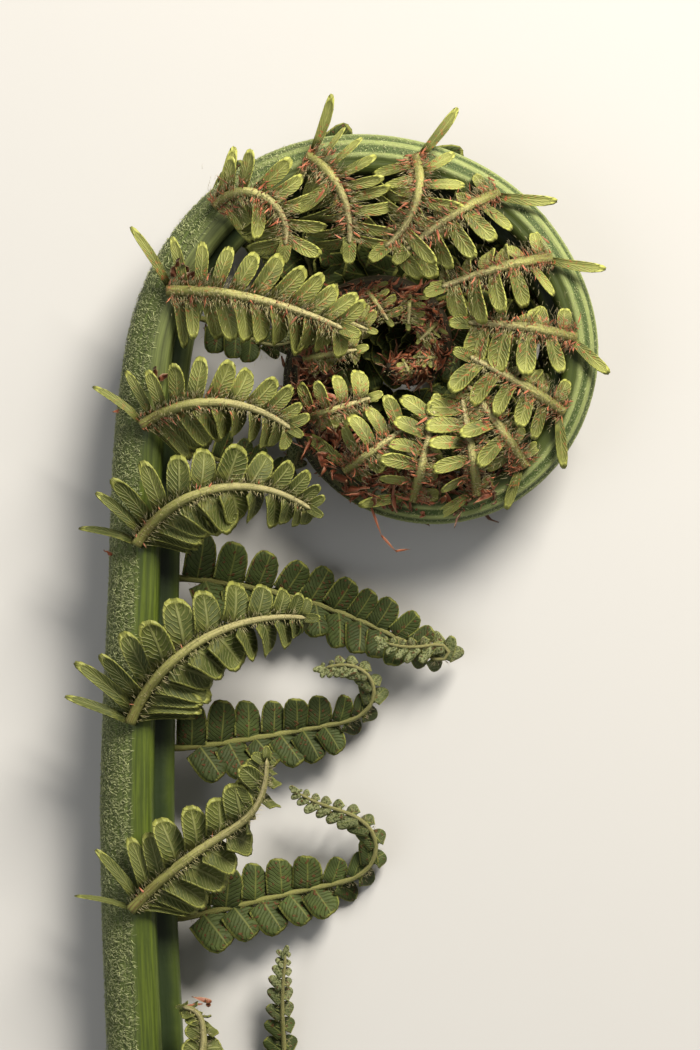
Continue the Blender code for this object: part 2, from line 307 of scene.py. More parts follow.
class StalkLine:
    """Centre line of the stalk, read by distance from the cut end."""

    def __init__(self):
        turns = np.arange(0.0, COIL_STEP * (len(COIL) - 1) + 0.1, COIL_TRACE)
        coil = smooth(turns, COIL_STEP * np.arange(len(COIL)), COIL)
        angle = np.radians(COIL_START - turns)
        around = np.column_stack((coil[:, 0] * np.cos(angle), coil[:, 0] * np.sin(angle), coil[:, 1]))
        self.points = np.vstack((STALK, around))
        steps = np.linalg.norm(np.diff(self.points[:, :2], axis=0), axis=1)
        self.stations = np.concatenate(([0.0], np.cumsum(steps)))
        self.length = self.stations[-1]
        self.bend_start = self.stations[len(STALK) - 1]

    def at(self, along):
        """Centre, heading in radians and radius at each distance."""
        along = np.atleast_1d(np.asarray(along, float))
        behind, here, ahead = (
            smooth(along + step, self.stations, self.points) for step in (-HEADING_STEP, 0.0, HEADING_STEP))
        way = ahead[:, :2] - behind[:, :2]
        return here[:, :2], np.arctan2(way[:, 1], way[:, 0]), here[:, 2]

    def rings(self, straight_step, coil_turn):
        """Distances of rings: wide apart on the stalk, closer in the coil."""
        along = [0.0]
        while along[-1] < self.length:
            radius = np.hypot(*self.at(along[-1])[0][0])
            straight = along[-1] < self.bend_start
            step = straight_step if straight else max(0.25, math.radians(coil_turn) * radius)
            along.append(along[-1] + step)
        along[-1] = self.length
        return np.array(along)

    def skin(self, along, around, reach):
        """Points at a share of the radius, at angles in degrees from the groove, and the way out."""
        centre, heading, radius = self.at(along)
        out = turned(inward_way(heading), np.array((0.0, 0.0, 1.0)), np.radians(GROOVE_TURN + around))
        middle = np.column_stack((centre, np.zeros(len(centre))))
        return middle + out * (radius * reach)[:, None], out


LINE = StalkLine()


class Placing:
    """The frond's tilt and place: its own stalk is laid on the frame's."""

    def __init__(self):
        self.tilt = np.array(Matrix.Rotation(math.atan(DEPTH_SLOPE), 3, "X"))
        along = np.repeat(LINE.rings(FRAME_RING, FRAME_TURN), FRAME_POINTS)
        around = np.tile(np.arange(FRAME_POINTS) * 360.0 / FRAME_POINTS, len(along) // FRAME_POINTS)
        away = np.minimum(around, 360.0 - around)
        stalk = LINE.skin(along, around, groove(away))[0] @ self.tilt.T
        low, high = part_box("rachis")
        middle = (np.array(low) + np.array(high)) / 2
        self.shift = middle / MM - (stalk.min(axis=0) + stalk.max(axis=0)) / 2

    def world(self, points):
        """Frond points in millimetres as world points in metres."""
        return (points @ self.tilt.T + self.shift) * MM

    def matrix(self):
        turn = Matrix(self.tilt.tolist()).to_4x4()
        return Matrix.Translation(self.shift * MM) @ turn


PLACE = Placing()


# ---------------------------------------------------------------------------
# Sizes and colours
# ---------------------------------------------------------------------------


def size_of(name, description, default, low, high, **unit_of):
    return bpy.props.FloatProperty(
        name=name, description=description, default=default, min=low, max=high, **unit_of)


def count_of(name, description, default):
    return bpy.props.IntProperty(name=name, description=description, default=default, min=0, max=14000)


def colour_of(name, description, default):
    return bpy.props.FloatVectorProperty(
        name=name, description=description, default=default, subtype="COLOR", min=0.0, max=1.0)


class FrondSizes(bpy.types.PropertyGroup):
    """Sizes and counts that a maker would change. Those of the frond are in millimetres."""

    hair_length: size_of("Hair Length", "Mean length of a stalk hair", 0.45, 0.1, 3.0)
    hair_radius: size_of("Hair Radius", "Radius of a stalk hair at its root", 0.034, 0.005, 0.2)
    stalk_hairs: count_of("Stalk Hairs", "Most hairs on each half of the straight stalk", 13500)
    coil_hairs: count_of("Coil Hairs", "Most hairs on the outer turn; the inner has two thirds", 12500)
    lobe_thickness: size_of("Lobe Thickness", "Thickness as a share of half a lobe's width", 0.12, 0.02, 0.5)
    costa_radius: size_of("Costa Radius", "Radius of the largest leaflet's midrib", 0.56, 0.1, 1.5)
    scale_length: size_of("Scale Length", "Usual length of a papery scale", 0.62, 0.1, 4.0)
    lens_distance: size_of("Lens Distance", "From the camera to the frond", 0.52, 0.2, 3.0, unit="LENGTH")
    view_height: size_of("View Height", "Height of the view at the frond", 0.105, 0.02, 1.0, unit="LENGTH")


class FrondColours(bpy.types.PropertyGroup):
    """Colours of the frond's finishes and of the studio."""

    strip: colour_of("Strip", "Smooth ridge beside the groove", (0.036, 0.055, 0.003))
    strip_light: colour_of("Strip Light", "Streaks of the smooth ridge", (0.075, 0.105, 0.007))
    flank: colour_of("Flank", "Skin under the hairs", (0.042, 0.058, 0.011))
    # Coil Skin and Coil Valley: the ridges' own green, with the crests painted pale as highlights and the
    # valleys darker as shade.
    coil_skin: colour_of("Coil Skin", "Pale ridges of the coil", (0.27, 0.315, 0.105))
    coil_valley: colour_of("Coil Valley", "Green between the coil's ridges", (0.04, 0.07, 0.012))
    # Groove: the groove's floor, painted near black as shade.
    groove: colour_of("Groove", "Floor of the groove", (0.012, 0.024, 0.002))
    hair: colour_of("Hair", "Hairs of the stalk", (0.43, 0.46, 0.22))
    # Lamina Dark and Lamina Light: old and young undersides, and also the shaded and the lit ends of the
    # underside's painted light.
    lamina_dark: colour_of("Lamina Dark", "Underside of old leaflets", (0.04, 0.056, 0.007))
    lamina_light: colour_of("Lamina Light", "Underside of young leaflets", (0.34, 0.355, 0.085))
    vein: colour_of("Vein", "Veins of the underside", (0.38, 0.39, 0.14))
    rim: colour_of("Rim", "Rolled margins", (0.44, 0.455, 0.1))
    upper: colour_of("Upper", "Upper side of leaflets", (0.038, 0.053, 0.011))
    wool: colour_of("Wool", "Cream wool of the midribs", (0.58, 0.5, 0.27))
    costa: colour_of("Costa", "Midribs", (0.33, 0.34, 0.075))
    scale: colour_of("Scale", "Papery scales", (0.38, 0.1, 0.04))
    scale_brown: colour_of("Scale Brown", "Dried scales", (0.085, 0.028, 0.01))
    pith: colour_of("Pith", "Cut end of the stalk", (0.42, 0.46, 0.2))
    floor: colour_of("Floor", "Floor of the studio", (0.48, 0.476, 0.465))


# ---------------------------------------------------------------------------
# Shader building
# ---------------------------------------------------------------------------


class Value:
    """A number in a shader. Sums on it add Math nodes."""

    def __init__(self, finish, socket):
        self.finish = finish
        self.socket = socket

    def join(self, operation, first, second=0.0):
        node = self.finish.add("ShaderNodeMath", {"operation": operation}, {0: first, 1: second})
        return Value(self.finish, node.outputs[0])

    def __add__(self, other):
        return self.join("ADD", self, other)

    def __radd__(self, other):
        return self.join("ADD", other, self)

    def __sub__(self, other):
        return self.join("SUBTRACT", self, other)

    def __rsub__(self, other):
        return self.join("SUBTRACT", other, self)

    def __mul__(self, other):
        return self.join("MULTIPLY", self, other)

    def __rmul__(self, other):
        return self.join("MULTIPLY", other, self)

    def __abs__(self):
        return self.join("ABSOLUTE", self)

    def fraction(self):
        return self.join("FRACT", self)

    def largest(self, other):
        return self.join("MAXIMUM", self, other)


class Finish:
    """A procedural material. One method adds any node, and colours are laid over one another."""

    def __init__(self, name, specular):
        self.material = bpy.data.materials.new(name)
        self.material.use_nodes = True
        self.tree = self.material.node_tree
        self.shader = self.tree.nodes["Principled BSDF"]
        self.shader.inputs["Specular IOR Level"].default_value = specular
        self.colour = None

    def add(self, kind, settings=None, sockets=None):
        node = self.tree.nodes.new(kind)
        for name, value in (settings or {}).items():
            setattr(node, name, value)
        for name, value in (sockets or {}).items():
            if isinstance(value, Value):
                value = value.socket
            if isinstance(value, bpy.types.NodeSocket):
                self.tree.links.new(value, node.inputs[name])
            else:
                node.inputs[name].default_value = value
        return node

    def value(self, node, output=0):
        return Value(self, node.outputs[output])

    def feed(self, socket, value):
        source = value.socket if isinstance(value, Value) else value
        self.tree.links.new(source, self.shader.inputs[socket])

    def attribute(self, name):
        return self.value(self.add("ShaderNodeAttribute", {"attribute_name": name}), "Fac")

    def surface(self):
        """The piece's own UV map as two numbers."""
        split = self.add("ShaderNodeSeparateXYZ", None, {0: self.add("ShaderNodeUVMap").outputs[0]})
        return self.value(split, 0), self.value(split, 1)

    def vector(self, x, y, z=0.0):
        return self.add("ShaderNodeCombineXYZ", None, {0: x, 1: y, 2: z}).outputs[0]

    def noise(self, vector, scale, detail=3.0, roughness=0.55):
        node = self.add("ShaderNodeTexNoise", None, {
            "Vector": vector, "Scale": scale, "Detail": detail, "Roughness": roughness})
        return self.value(node)

    def grain(self, scale, detail=3.0):
        """Noise that is fixed to the piece, in cells per metre."""
        return self.noise(self.add("ShaderNodeTexCoord").outputs["Object"], scale, detail)

    def step(self, value, low, high):
        """Runs smoothly from 0 at the low value to 1 at the high value."""
        node = self.add("ShaderNodeMapRange", {"interpolation_type": "SMOOTHSTEP"}, {
            "Value": value, "From Min": low, "From Max": high})
        return self.value(node)

    def fade(self, value, low, high):
        """Runs smoothly from 1 at the low value to 0 at the high value."""
        return 1.0 - self.step(value, low, high)

    def mix(self, factor, first, second):
        """Blend of two colours, each a colour or a socket."""
        node = self.add("ShaderNodeMix", {"data_type": "RGBA"}, {0: factor})
        for index, side in ((6, first), (7, second)):
            if isinstance(side, bpy.types.NodeSocket):
                self.tree.links.new(side, node.inputs[index])
            else:
                node.inputs[index].default_value = (*side, 1.0)
        return node.outputs[2]

    def cover(self, share, colour):
        """Lays a share of a colour over what is there."""
        self.colour = self.mix(share, self.colour, colour)

    def bump(self, height, strength, depth):
        node = self.add("ShaderNodeBump", None, {
            "Height": height, "Strength": strength, "Distance": depth * MM})
        self.feed("Normal", node.outputs[0])

    def done(self, roughness):
        """Feeds the colour and the roughness to the shader, and gives the material."""
        self.feed("Base Color", self.colour)
        self.feed("Roughness", roughness)
        return self.material


# ---------------------------------------------------------------------------
# Finishes. The numbers are shares of a lobe, of its width or of a noise between 0 and 1,
# unless they multiply a colour; the depths of bumps are in millimetres.
# ---------------------------------------------------------------------------

# Side veins along a lobe, how far each slants by the margin, and its place on each lobe.
VEINS = 8.0
VEIN_SLANT = 2.3
VEIN_SHIFT = 3.0


def shade(colour, share):
    return tuple(min(1.0, channel * share) for channel in colour)


def side_veins(finish, along, edge, wander, low):
    """Side veins that slant out from the middle vein: 1 on a vein, 0 between two."""
    shifted = along * VEINS - edge * VEIN_SLANT + wander + finish.attribute("tone") * VEIN_SHIFT
    comb = abs(shifted.fraction() - 0.5) * 2.0
    return finish.step(comb, low, 0.95) * finish.step(edge, 0.02, 0.2)


def underside_finish(colours):
    """Lobes seen from below: painted light towards the tip and by tone, painted shade in the hollows between
    the veins, woolly at the base, with bright margins.
    """
    finish = Finish("lobe_underside", 0.25)
    along, across = finish.surface()
    tone = finish.attribute("tone")
    young = finish.attribute("young")
    grain = finish.grain(1500.0)
    blotch = finish.grain(420.0, 2.0) - 0.5
    edge = abs(across - 0.5) * 2.0
    slanting = side_veins(finish, along, edge, (grain - 0.5) * 0.8 + blotch * 2.2, 0.5)
    veins = slanting.largest(finish.fade(edge + (grain - 0.5) * 0.1, 0.04, 0.15))
    rim = finish.step(edge + blotch * 0.1, 0.89, 0.98).largest(finish.step(along, 0.975, 1.0) * 0.6)
    woolly = finish.fade(along + blotch * 0.3, 0.1, 0.7) * finish.step(grain, 0.4, 0.6)
    # Painted light: lobes lighter towards the tip and by their tone, as if lit, and darker as if in shade.
    painted_light = finish.step(along * 0.75 + tone * 0.4 + blotch * 0.5, 0.35, 0.95)
    # light mixes the leaflet's age with the painted light; the lamina, veins and margins follow it.
    light = young * (0.25 + painted_light * 0.75) + (1.0 - young) * painted_light * 0.22
    # Painted shade in the hollows between the veins, less where the painted light is strong.
    hollow = (1.0 - veins) * finish.step(edge, 0.05, 0.3) * (1.0 - painted_light * 0.55)
    rust = finish.step(finish.grain(2600.0, 2.0), 0.58, 0.64) * young * finish.fade(along, 0.3, 0.95)
    finish.colour = finish.mix(light, colours.lamina_dark, colours.lamina_light)
    finish.cover(hollow * 0.62, shade(colours.lamina_dark, 0.75))
    finish.cover(veins * 0.62, finish.mix(light, shade(colours.vein, 0.42), colours.vein))
    finish.cover(woolly * 0.6, finish.mix(young, shade(colours.costa, 0.4), shade(colours.costa, 0.75)))
    finish.cover(rust * 0.85, colours.scale)
    finish.cover(rim * 0.7, finish.mix(light, shade(colours.rim, 0.5), colours.rim))
    finish.bump(veins + rim * 0.5 + grain * 0.7, 0.75, 0.15)
    return finish.done(0.6 - rim * 0.14)


def upperside_finish(colours):
    """Lobes seen from above: matt green with sunken veins, brown specks, down and light margins."""
    finish = Finish("lobe_upperside", 0.2)
    along, across = finish.surface()
    grain = finish.grain(1700.0)
    blotch = finish.grain(500.0, 2.0) - 0.5
    specks = finish.step(finish.grain(2300.0, 2.0), 0.60, 0.67)
    down = finish.step(finish.grain(5200.0, 2.0), 0.35, 0.6) * finish.attribute("downy")
    edge = abs(across - 0.5) * 2.0
    slanting = side_veins(finish, along, edge, (grain - 0.5) * 0.7 + blotch * 1.6, 0.6)
    rim = finish.step(edge, 0.86, 0.96).largest(finish.step(along, 0.95, 0.985))
    light = finish.step(finish.attribute("tone") * 0.5 + blotch * 0.9, 0.05, 0.9)
    finish.colour = finish.mix(light, shade(colours.upper, 0.7), shade(colours.upper, 1.6))
    finish.cover(down * 0.8, shade(colours.hair, 0.7))
    finish.cover(slanting * 0.35, shade(colours.upper, 0.5))
    finish.cover(finish.fade(edge, 0.02, 0.07) * 0.45, shade(colours.costa, 0.5))
    finish.cover(specks * 0.8, colours.scale_brown)
    finish.cover(rim * 0.7, shade(colours.rim, 0.62))
    finish.bump(grain * 0.6 - slanting * 0.8 + specks * 0.6, 0.7, 0.14)
    return finish.done(0.58 + grain * 0.16)


def costa_finish(colours):
    """Midribs: pale yellow-green with whitish streaks, olive and brown at the foot."""
    finish = Finish("midrib", 0.35)
    along, across = finish.surface()
    tone = finish.attribute("tone")
    young = finish.attribute("young")
    streak = finish.noise(finish.vector(along * 3.0, across * 5.0, tone * 9.0), 3.0)
    fibre = finish.noise(finish.vector(along * 60.0, across * 20.0, tone * 9.0), 3.0, detail=4.0)
    grain = finish.grain(1800.0)
    pale = finish.step(along * 0.6 + (fibre - 0.5) * 1.8, 0.05, 0.6)
    foot = finish.fade(along + (streak - 0.5) * 0.3, 0.1, 0.4)
    olive = finish.mix(finish.step(streak, 0.45, 0.6), shade(colours.costa, 0.42), colours.scale_brown)
    flank = finish.step(across + (fibre - 0.5) * 0.2, 0.25, 0.37)
    rust = finish.step(grain, 0.6, 0.68) * finish.step(young, 0.3, 0.8)
    finish.colour = finish.mix(young, shade(colours.costa, 0.75), colours.costa)
    finish.cover(pale * 0.85, finish.mix(young, shade(colours.wool, 0.7), colours.wool))
    finish.cover(finish.step(streak, 0.5, 0.64) * 0.6, shade(colours.costa, 0.3))
    finish.cover(foot * 0.7, olive)
    finish.cover(flank * 0.6, shade(colours.costa, 0.4))
    finish.cover(rust * 0.6, colours.scale)
    finish.bump(streak * 0.7 + fibre * 0.8 + grain * 0.4, 0.8, 0.14)
    return finish.done(0.55 + grain * 0.2)


def skin_finish(colours):
    """Stalk: woolly or ridged flanks, a smooth streaked strip by a groove darkened with painted shade, a
    pale cut end; also painted highlights on the coil's ridge crests with painted shade between them, painted
    light on the strip over the coil's shoulder, painted shade on its far side and inside the coil, and brown
    with painted shade towards the heart.
    """
    finish = Finish("stalk_skin", 0.4)
    share, around = finish.surface()
    along = share * LINE.length
    wander = finish.noise(finish.vector(along * 0.4, around * 9.0), 1.0, detail=2.0)
    streak = finish.noise(finish.vector(along * 0.09, around * 60.0), 1.0, detail=4.0)
    fine = finish.noise(finish.vector(along * 0.5, around * 150.0), 1.0, detail=3.0)
    crinkle = finish.noise(finish.vector(along * 9.0, around * 60.0), 1.0, detail=3.0, roughness=0.7)
    grain = finish.grain(1600.0)
    degrees = abs(around - 0.5) * 360.0 + (wander - 0.5) * 12.0
    woolly = finish.step(degrees, 56.0, 70.0)
    bent = finish.step(along, *RIDGED)
    # Painted light: the strip is paler where it turns over the coil's shoulder, with streaks.
    shoulder = finish.step(along, *SHOULDER[0]) * finish.fade(along, *SHOULDER[1])
    painted_light_strip = finish.mix(
        finish.step(streak, 0.35, 0.65), shade(colours.coil_skin, 0.22), shade(colours.coil_skin, 0.6))
    finish.colour = finish.mix(finish.step(streak, 0.38, 0.66), colours.strip, colours.strip_light)
    finish.cover(finish.step(fine, 0.5, 0.7) * 0.35, shade(colours.strip, 0.5))
    # Painted shade on the far side of the strip, the far ridge.
    finish.cover(finish.fade(around, 0.5, 0.5001) * 0.7, shade(colours.strip, 0.9))
    finish.cover(shoulder * 0.85, painted_light_strip)
    # Painted shade on the strip inside the coil.
    finish.cover(bent * 0.7, colours.flank)
    # Painted shade on the groove's floor.
    finish.cover(finish.fade(degrees, 10.0, 30.0), colours.groove)
    smooth_skin = finish.colour
    # Painted highlights on the coil's ridge crests and painted shade in the valleys, over the ridges' own
    # green.
    crest = finish.step(finish.attribute("ridge") + (streak - 0.5) * 1.4, 0.15, 0.9)
    ridged = finish.mix(crest, colours.coil_valley, colours.coil_skin)
    ridged = finish.mix(finish.step(fine, 0.5, 0.62) * 0.4, ridged, shade(colours.coil_valley, 1.6))
    tufts = finish.step(crinkle, 0.52, 0.64)
    finish.colour = finish.mix(finish.step(streak, 0.35, 0.7), colours.flank, shade(colours.flank, 2.2))
    finish.cover(bent * 0.9, ridged)
    finish.cover(tufts * 0.55, shade(colours.hair, 0.6))
    finish.colour = finish.mix(woolly, smooth_skin, finish.colour)
    # Brown towards the heart, darker still as painted shade.
    finish.cover(finish.step(along, *BROWN_SKIN_AND_SHADE) * 0.9, shade(colours.scale_brown, 0.22))
    cut = finish.attribute("cut")
    bundles = finish.step(finish.grain(650.0, 1.0), 0.56, 0.62)
    pith = finish.mix(bundles * 0.6, colours.pith, shade(colours.flank, 2.0))
    pith = finish.mix(finish.fade(cut, 0.5, 0.9) * 0.5, pith, colours.scale_brown)
    finish.cover(finish.step(cut, 0.1, 0.3), pith)
    finish.bump(streak * 0.5 + fine * 0.4 + tufts * woolly * 0.9 + grain * 0.25, 0.5, 0.15)
    return finish.done(0.42 + woolly * 0.25 + grain * 0.08)


def hair_finish(name, hair, root):
    """Hairs: each a little lighter or darker than the next, with a root of its own colour."""
    finish = Finish(name, 0.5)
    along, _ = finish.surface()
    tone = finish.attribute("tone")
    finish.colour = finish.mix(tone, shade(hair, 0.45), shade(hair, 1.6))
    finish.cover(finish.fade(along, 0.0, 0.4) * 0.4, root)
    return finish.done(0.42 + tone * 0.2)


def scale_finish(colours):
    """Papery scales: rust red to brown, streaked lengthwise, paler at their edges."""
    finish = Finish("papery_scale", 0.45)
    along, across = finish.surface()
    tone = finish.attribute("tone")
    streak = finish.noise(finish.vector(along * 2.0, across * 16.0, tone * 20.0), 2.0)
    edge = abs(across - 0.5) * 2.0
    finish.colour = finish.mix(tone, colours.scale_brown, colours.scale)
    finish.cover(finish.step(streak, 0.35, 0.7) * tone * 0.7, shade(colours.scale, 1.35))
    finish.cover(finish.step(edge, 0.6, 1.0) * 0.3, shade(colours.wool, 0.75))
    finish.bump(streak, 0.4, 0.06)
    return finish.done(0.38 + streak * 0.2)


def floor_finish(colours):
    """Matt studio floor with a faint paper grain."""
    finish = Finish("studio_floor", 0.5)
    grain = finish.grain(260.0)
    finish.colour = finish.mix(grain, shade(colours.floor, 0.985), colours.floor)
    return finish.done(0.82 + grain * 0.1)


def look(name, make, *given):
    """A finish by its name, made when it is first wanted."""
    return bpy.data.materials.get(name) or make(*given)


# ---------------------------------------------------------------------------
# Modelling
# ---------------------------------------------------------------------------


# Height over which what would sink into the floor is squeezed.
FLOOR_SQUEEZE = 0.45 * MM


def start_piece():
    """Leaves edit mode and deselects everything, so that an operator acts on the new piece only."""
    if bpy.context.object and bpy.context.object.mode != "OBJECT":
        bpy.ops.object.mode_set(mode="OBJECT")
    bpy.ops.object.select_all(action="DESELECT")


def read(items, key, width):
    values = np.empty(len(items) * width, np.float64 if width > 1 else np.int32)
    items.foreach_get(key, values)
    return values.reshape(-1, width) if width > 1 else values


def resting(points):
    """Placed points, with what would sink into the floor squeezed into the space above it."""
    placed = PLACE.world(points)
    low = placed[:, 2] < FLOOR_SQUEEZE
    placed[low, 2] = FLOOR_SQUEEZE * np.exp(placed[low, 2] / FLOOR_SQUEEZE - 1.0)
    return placed


def write(items, key, values, kind=np.float32):
    items.foreach_set(key, np.ascontiguousarray(values, kind).ravel())


def set_attribute(mesh, name, values):
    write(mesh.attributes.new(name, "FLOAT", "POINT").data, "value", values)


def paint_uv(mesh, along, across):
    """Gives each vertex its own place on the UV map."""
    corners = read(mesh.loops, "vertex_index", 1)
    write(mesh.uv_layers[0].data, "uv", np.column_stack((along, across))[corners])


def choose(mesh, wanted):
    """Selects the vertices whose place passes the test. Works in edit mode."""
    bpy.ops.mesh.select_all(action="DESELECT")
    bpy.ops.object.mode_set(mode="OBJECT")
    for vertex in mesh.vertices:
        vertex.select = wanted(vertex.co)
    bpy.ops.object.mode_set(mode="EDIT")


def narrow(mesh, wanted, share):
    """Draws vertices towards the middle line, or away from it. Works in edit mode."""
    choose(mesh, wanted)
    bpy.ops.transform.resize(value=(1.0, share, 1.0), center_override=(0.0, 0.0, 0.0))


def add_grid(columns, rows):
    """A flat grid that runs from -1 to 1 both ways, for a piece to be made from."""
    start_piece()
    bpy.ops.mesh.primitive_grid_add(x_subdivisions=columns, y_subdivisions=rows, size=2.0)
    return bpy.context.object


def thicken(piece, thickness, **settings):
    """Gives a sheet its wall."""
    solid = piece.modifiers.new("Solidify", "SOLIDIFY")
    solid.thickness = thickness
    for name, value in settings.items():
        setattr(solid, name, value)
    bpy.ops.object.modifier_apply(modifier=solid.name)


def add_tube(name, columns, rows, form, clear_of_floor=True):
    """A grid rolled into a closed tube. form(s, a) places each station s at the angle share a."""
    tube = add_grid(columns, rows)
    tube.name = name
    mesh = tube.data
    flat = read(mesh.vertices, "co", 3)
    points, extra = form((flat[:, 0] + 1.0) / 2.0, (flat[:, 1] + 1.0) / 2.0)
    write(mesh.vertices, "co", resting(points) if clear_of_floor else PLACE.world(points))
    mesh.update()
    for key, values in extra.items():
        set_attribute(mesh, key, values)
    bpy.ops.object.mode_set(mode="EDIT")
    bpy.ops.mesh.select_all(action="SELECT")
    bpy.ops.mesh.remove_doubles(threshold=0.002 * MM)
    bpy.ops.mesh.normals_make_consistent(inside=False)
    bpy.ops.object.mode_set(mode="OBJECT")
    bpy.ops.object.shade_smooth()
    return tube


class Pattern:
    """A finished master shape as arrays, ready to be copied many times into one mesh."""

    def __init__(self, master):
        mesh = master.data
        self.points = read(mesh.vertices, "co", 3)
        self.corners = read(mesh.loops, "vertex_index", 1)
        self.starts = read(mesh.polygons, "loop_start", 1)
        self.sheets = read(mesh.polygons, "material_index", 1)
        self.uv = read(mesh.uv_layers[0].data, "uv", 2).ravel()
        bpy.data.objects.remove(master)


def copies(name, pattern, places, finishes, **values):
    """One piece made of a pattern's copies: places holds each copy's own points."""
    count, size, _ = places.shape
    mesh = bpy.data.meshes.new(name)
    mesh.vertices.add(count * size)
    mesh.loops.add(count * len(pattern.corners))
    mesh.polygons.add(count * len(pattern.starts))
    copy = np.arange(count)[:, None]
    write(mesh.vertices, "co", resting(places.reshape(-1, 3)))
    write(mesh.loops, "vertex_index", pattern.corners + copy * size, np.int32)
    write(mesh.polygons, "loop_start", pattern.starts + copy * len(pattern.corners), np.int32)
    write(mesh.polygons, "material_index", np.tile(pattern.sheets, count), np.int32)
    write(mesh.uv_layers.new(name="UVMap").data, "uv", np.tile(pattern.uv, count))
    for key, value in values.items():
        set_attribute(mesh, key, np.repeat(np.broadcast_to(value, count), size))
    mesh.update(calc_edges=True)
    mesh.validate()
    mesh.shade_smooth()
    piece = bpy.data.objects.new(name, mesh)
    bpy.context.scene.collection.objects.link(piece)
    for finish in finishes:
        mesh.materials.append(finish)
    return piece


def join(name, parts):
    """Joins parts into one piece. Each part brings its own finishes."""
    start_piece()
    for part in parts:
        part.select_set(True)
    bpy.context.view_layer.objects.active = parts[0]
    bpy.ops.object.join()
    piece = bpy.context.object
    piece.name = name
    piece.data.name = name
    return piece


# A lobe from base to tip: place on the flat grid, share of the width, place along it.
LOBE_OUTLINE = ((-1.0, 1.0, 0.0), (-0.6, 1.0, 0.36), (-0.2, 0.97, 0.64),
                (0.2, 0.84, 0.83), (0.6, 0.56, 0.95), (1.0, 0.2, 1.0))
MIDDLE_COLUMNS = 1.42
ROW_REACH = 0.05


def master_lobe(thickness):
    """A lobe from a flat grid: broad base, rolled margins, round tip, and an upper skin."""
    lobe = add_grid(5, 4)
    mesh = lobe.data
    bpy.ops.object.mode_set(mode="EDIT")
    narrow(mesh, lambda co: 0.05 < abs(co.y) < 0.55, MIDDLE_COLUMNS)
    for x, share, _ in LOBE_OUTLINE:
        narrow(mesh, lambda co, x=x: abs(co.x - x) < ROW_REACH, share)
    bpy.ops.object.mode_set(mode="OBJECT")
    points = read(mesh.vertices, "co", 3)
    rows, shares, stations = zip(*LOBE_OUTLINE)
    across = points[:, 1]
    side = across / np.interp(points[:, 0], rows, shares)
    along = np.interp(points[:, 0], rows, stations)
    lift = ROLL_OF_MARGIN * np.abs(side) ** 3 + RISE_OF_VEIN * ease(1.0 - np.abs(side) / 0.5)
    lift = np.where(along > 0.99, 0.7 * ROLL_OF_MARGIN, lift * (0.3 + 0.7 * ease(along / 0.3)))
    write(mesh.vertices, "co", np.column_stack((along, across, lift)))
    paint_uv(mesh, along, (side + 1.0) / 2.0)
    for _ in range(2):
        mesh.materials.append(None)
    thicken(lobe, thickness, offset=-1.0, material_offset=1)
    return Pattern(lobe)


def master_hair():
    """A hair lying along X, from a three-sided cone cut once so that it can bend."""
    start_piece()
    bpy.ops.mesh.primitive_cone_add(vertices=3, radius1=1.0, radius2=0.15, depth=1.0,
                                    location=(0.5, 0.0, 0.0), rotation=(0.0, math.pi / 2, 0.0))
    hair = bpy.context.object
    bpy.ops.object.transform_apply(location=True, rotation=True, scale=False)
    bpy.ops.object.mode_set(mode="EDIT")
    bpy.ops.mesh.select_all(action="SELECT")
    bpy.ops.mesh.bisect(plane_co=(0.5, 0.0, 0.0), plane_no=(1.0, 0.0, 0.0))
    bpy.ops.object.mode_set(mode="OBJECT")
    mesh = hair.data
    points = read(mesh.vertices, "co", 3)
    paint_uv(mesh, points[:, 0], np.full(len(points), 0.5))
    return Pattern(hair)


# A papery scale from base to tip: place on the flat grid, share of the width, rise.
SCALE_STATIONS = ((-1.0, 0.5, 0.0), (-0.6, 0.9, 0.25), (-0.2, 1.0, -0.15), (0.2, 0.72, 0.3),
                  (0.6, 0.4, 0.0), (1.0, 0.05, 0.4))
SCALE_HOLLOW = 0.4
SCALE_WALL = 0.12


def master_scale():
    """A papery scale from a narrow grid: tapered, hollow across, with a thin wall."""
    scale = add_grid(5, 2)
    mesh = scale.data
    bpy.ops.object.mode_set(mode="EDIT")
    for x, share, rise in SCALE_STATIONS:
        narrow(mesh, lambda co, x=x: abs(co.x - x) < ROW_REACH, share)
        bpy.ops.transform.translate(value=(0.0, 0.0, rise))
    choose(mesh, lambda co: abs(co.y) < 0.01)
    bpy.ops.transform.translate(value=(0.0, 0.0, -SCALE_HOLLOW))
    bpy.ops.object.mode_set(mode="OBJECT")
    points = read(mesh.vertices, "co", 3)
    write(mesh.vertices, "co", np.column_stack(((points[:, 0] + 1.0) / 2.0, points[:, 1], points[:, 2])))
    thicken(scale, SCALE_WALL)
    return Pattern(scale)


def curved(pattern, base, ahead, out, length, width, curl, twist=0.0, sweep=0.0, waist=0.0):
    """Copies of a flat pattern, curled towards `out` along their length and twisted about it.

    sweep draws the tips aside and waist narrows the bases, both as a share.
    """
    bends = (np.broadcast_to(value, len(base))[:, None] for value in (curl, twist, sweep, waist))
    curl, twist, sweep, waist = bends
    u, v, h = pattern.points.T
    bend = np.where(np.abs(curl) < 1e-3, 1e-3, curl)
    run = length[:, None] * np.sin(bend * u) / bend
    rise = length[:, None] * (1.0 - np.cos(bend * u)) / bend
    half = width[:, None] / 2.0 * (1.0 - waist * (1.0 - u) ** 2)
    across = half * (v * np.cos(twist * u) - h * np.sin(twist * u))
    lift = half * (h * np.cos(twist * u) + v * np.sin(twist * u))
    drift = sweep * u * u * length[:, None]
    side = np.cross(out, ahead)
    return (base[:, None] + ahead[:, None] * (run - lift * np.sin(bend * u))[..., None]
            + out[:, None] * (rise + lift * np.cos(bend * u))[..., None]
            + side[:, None] * (across + drift)[..., None])


# ---------------------------------------------------------------------------
# Leaflets
# ---------------------------------------------------------------------------


def costa_share(t):
    """Share of a midrib's radius at a share of its length: broad to past its middle."""
    return 1.0 - COSTA_TAPER * t ** 1.6


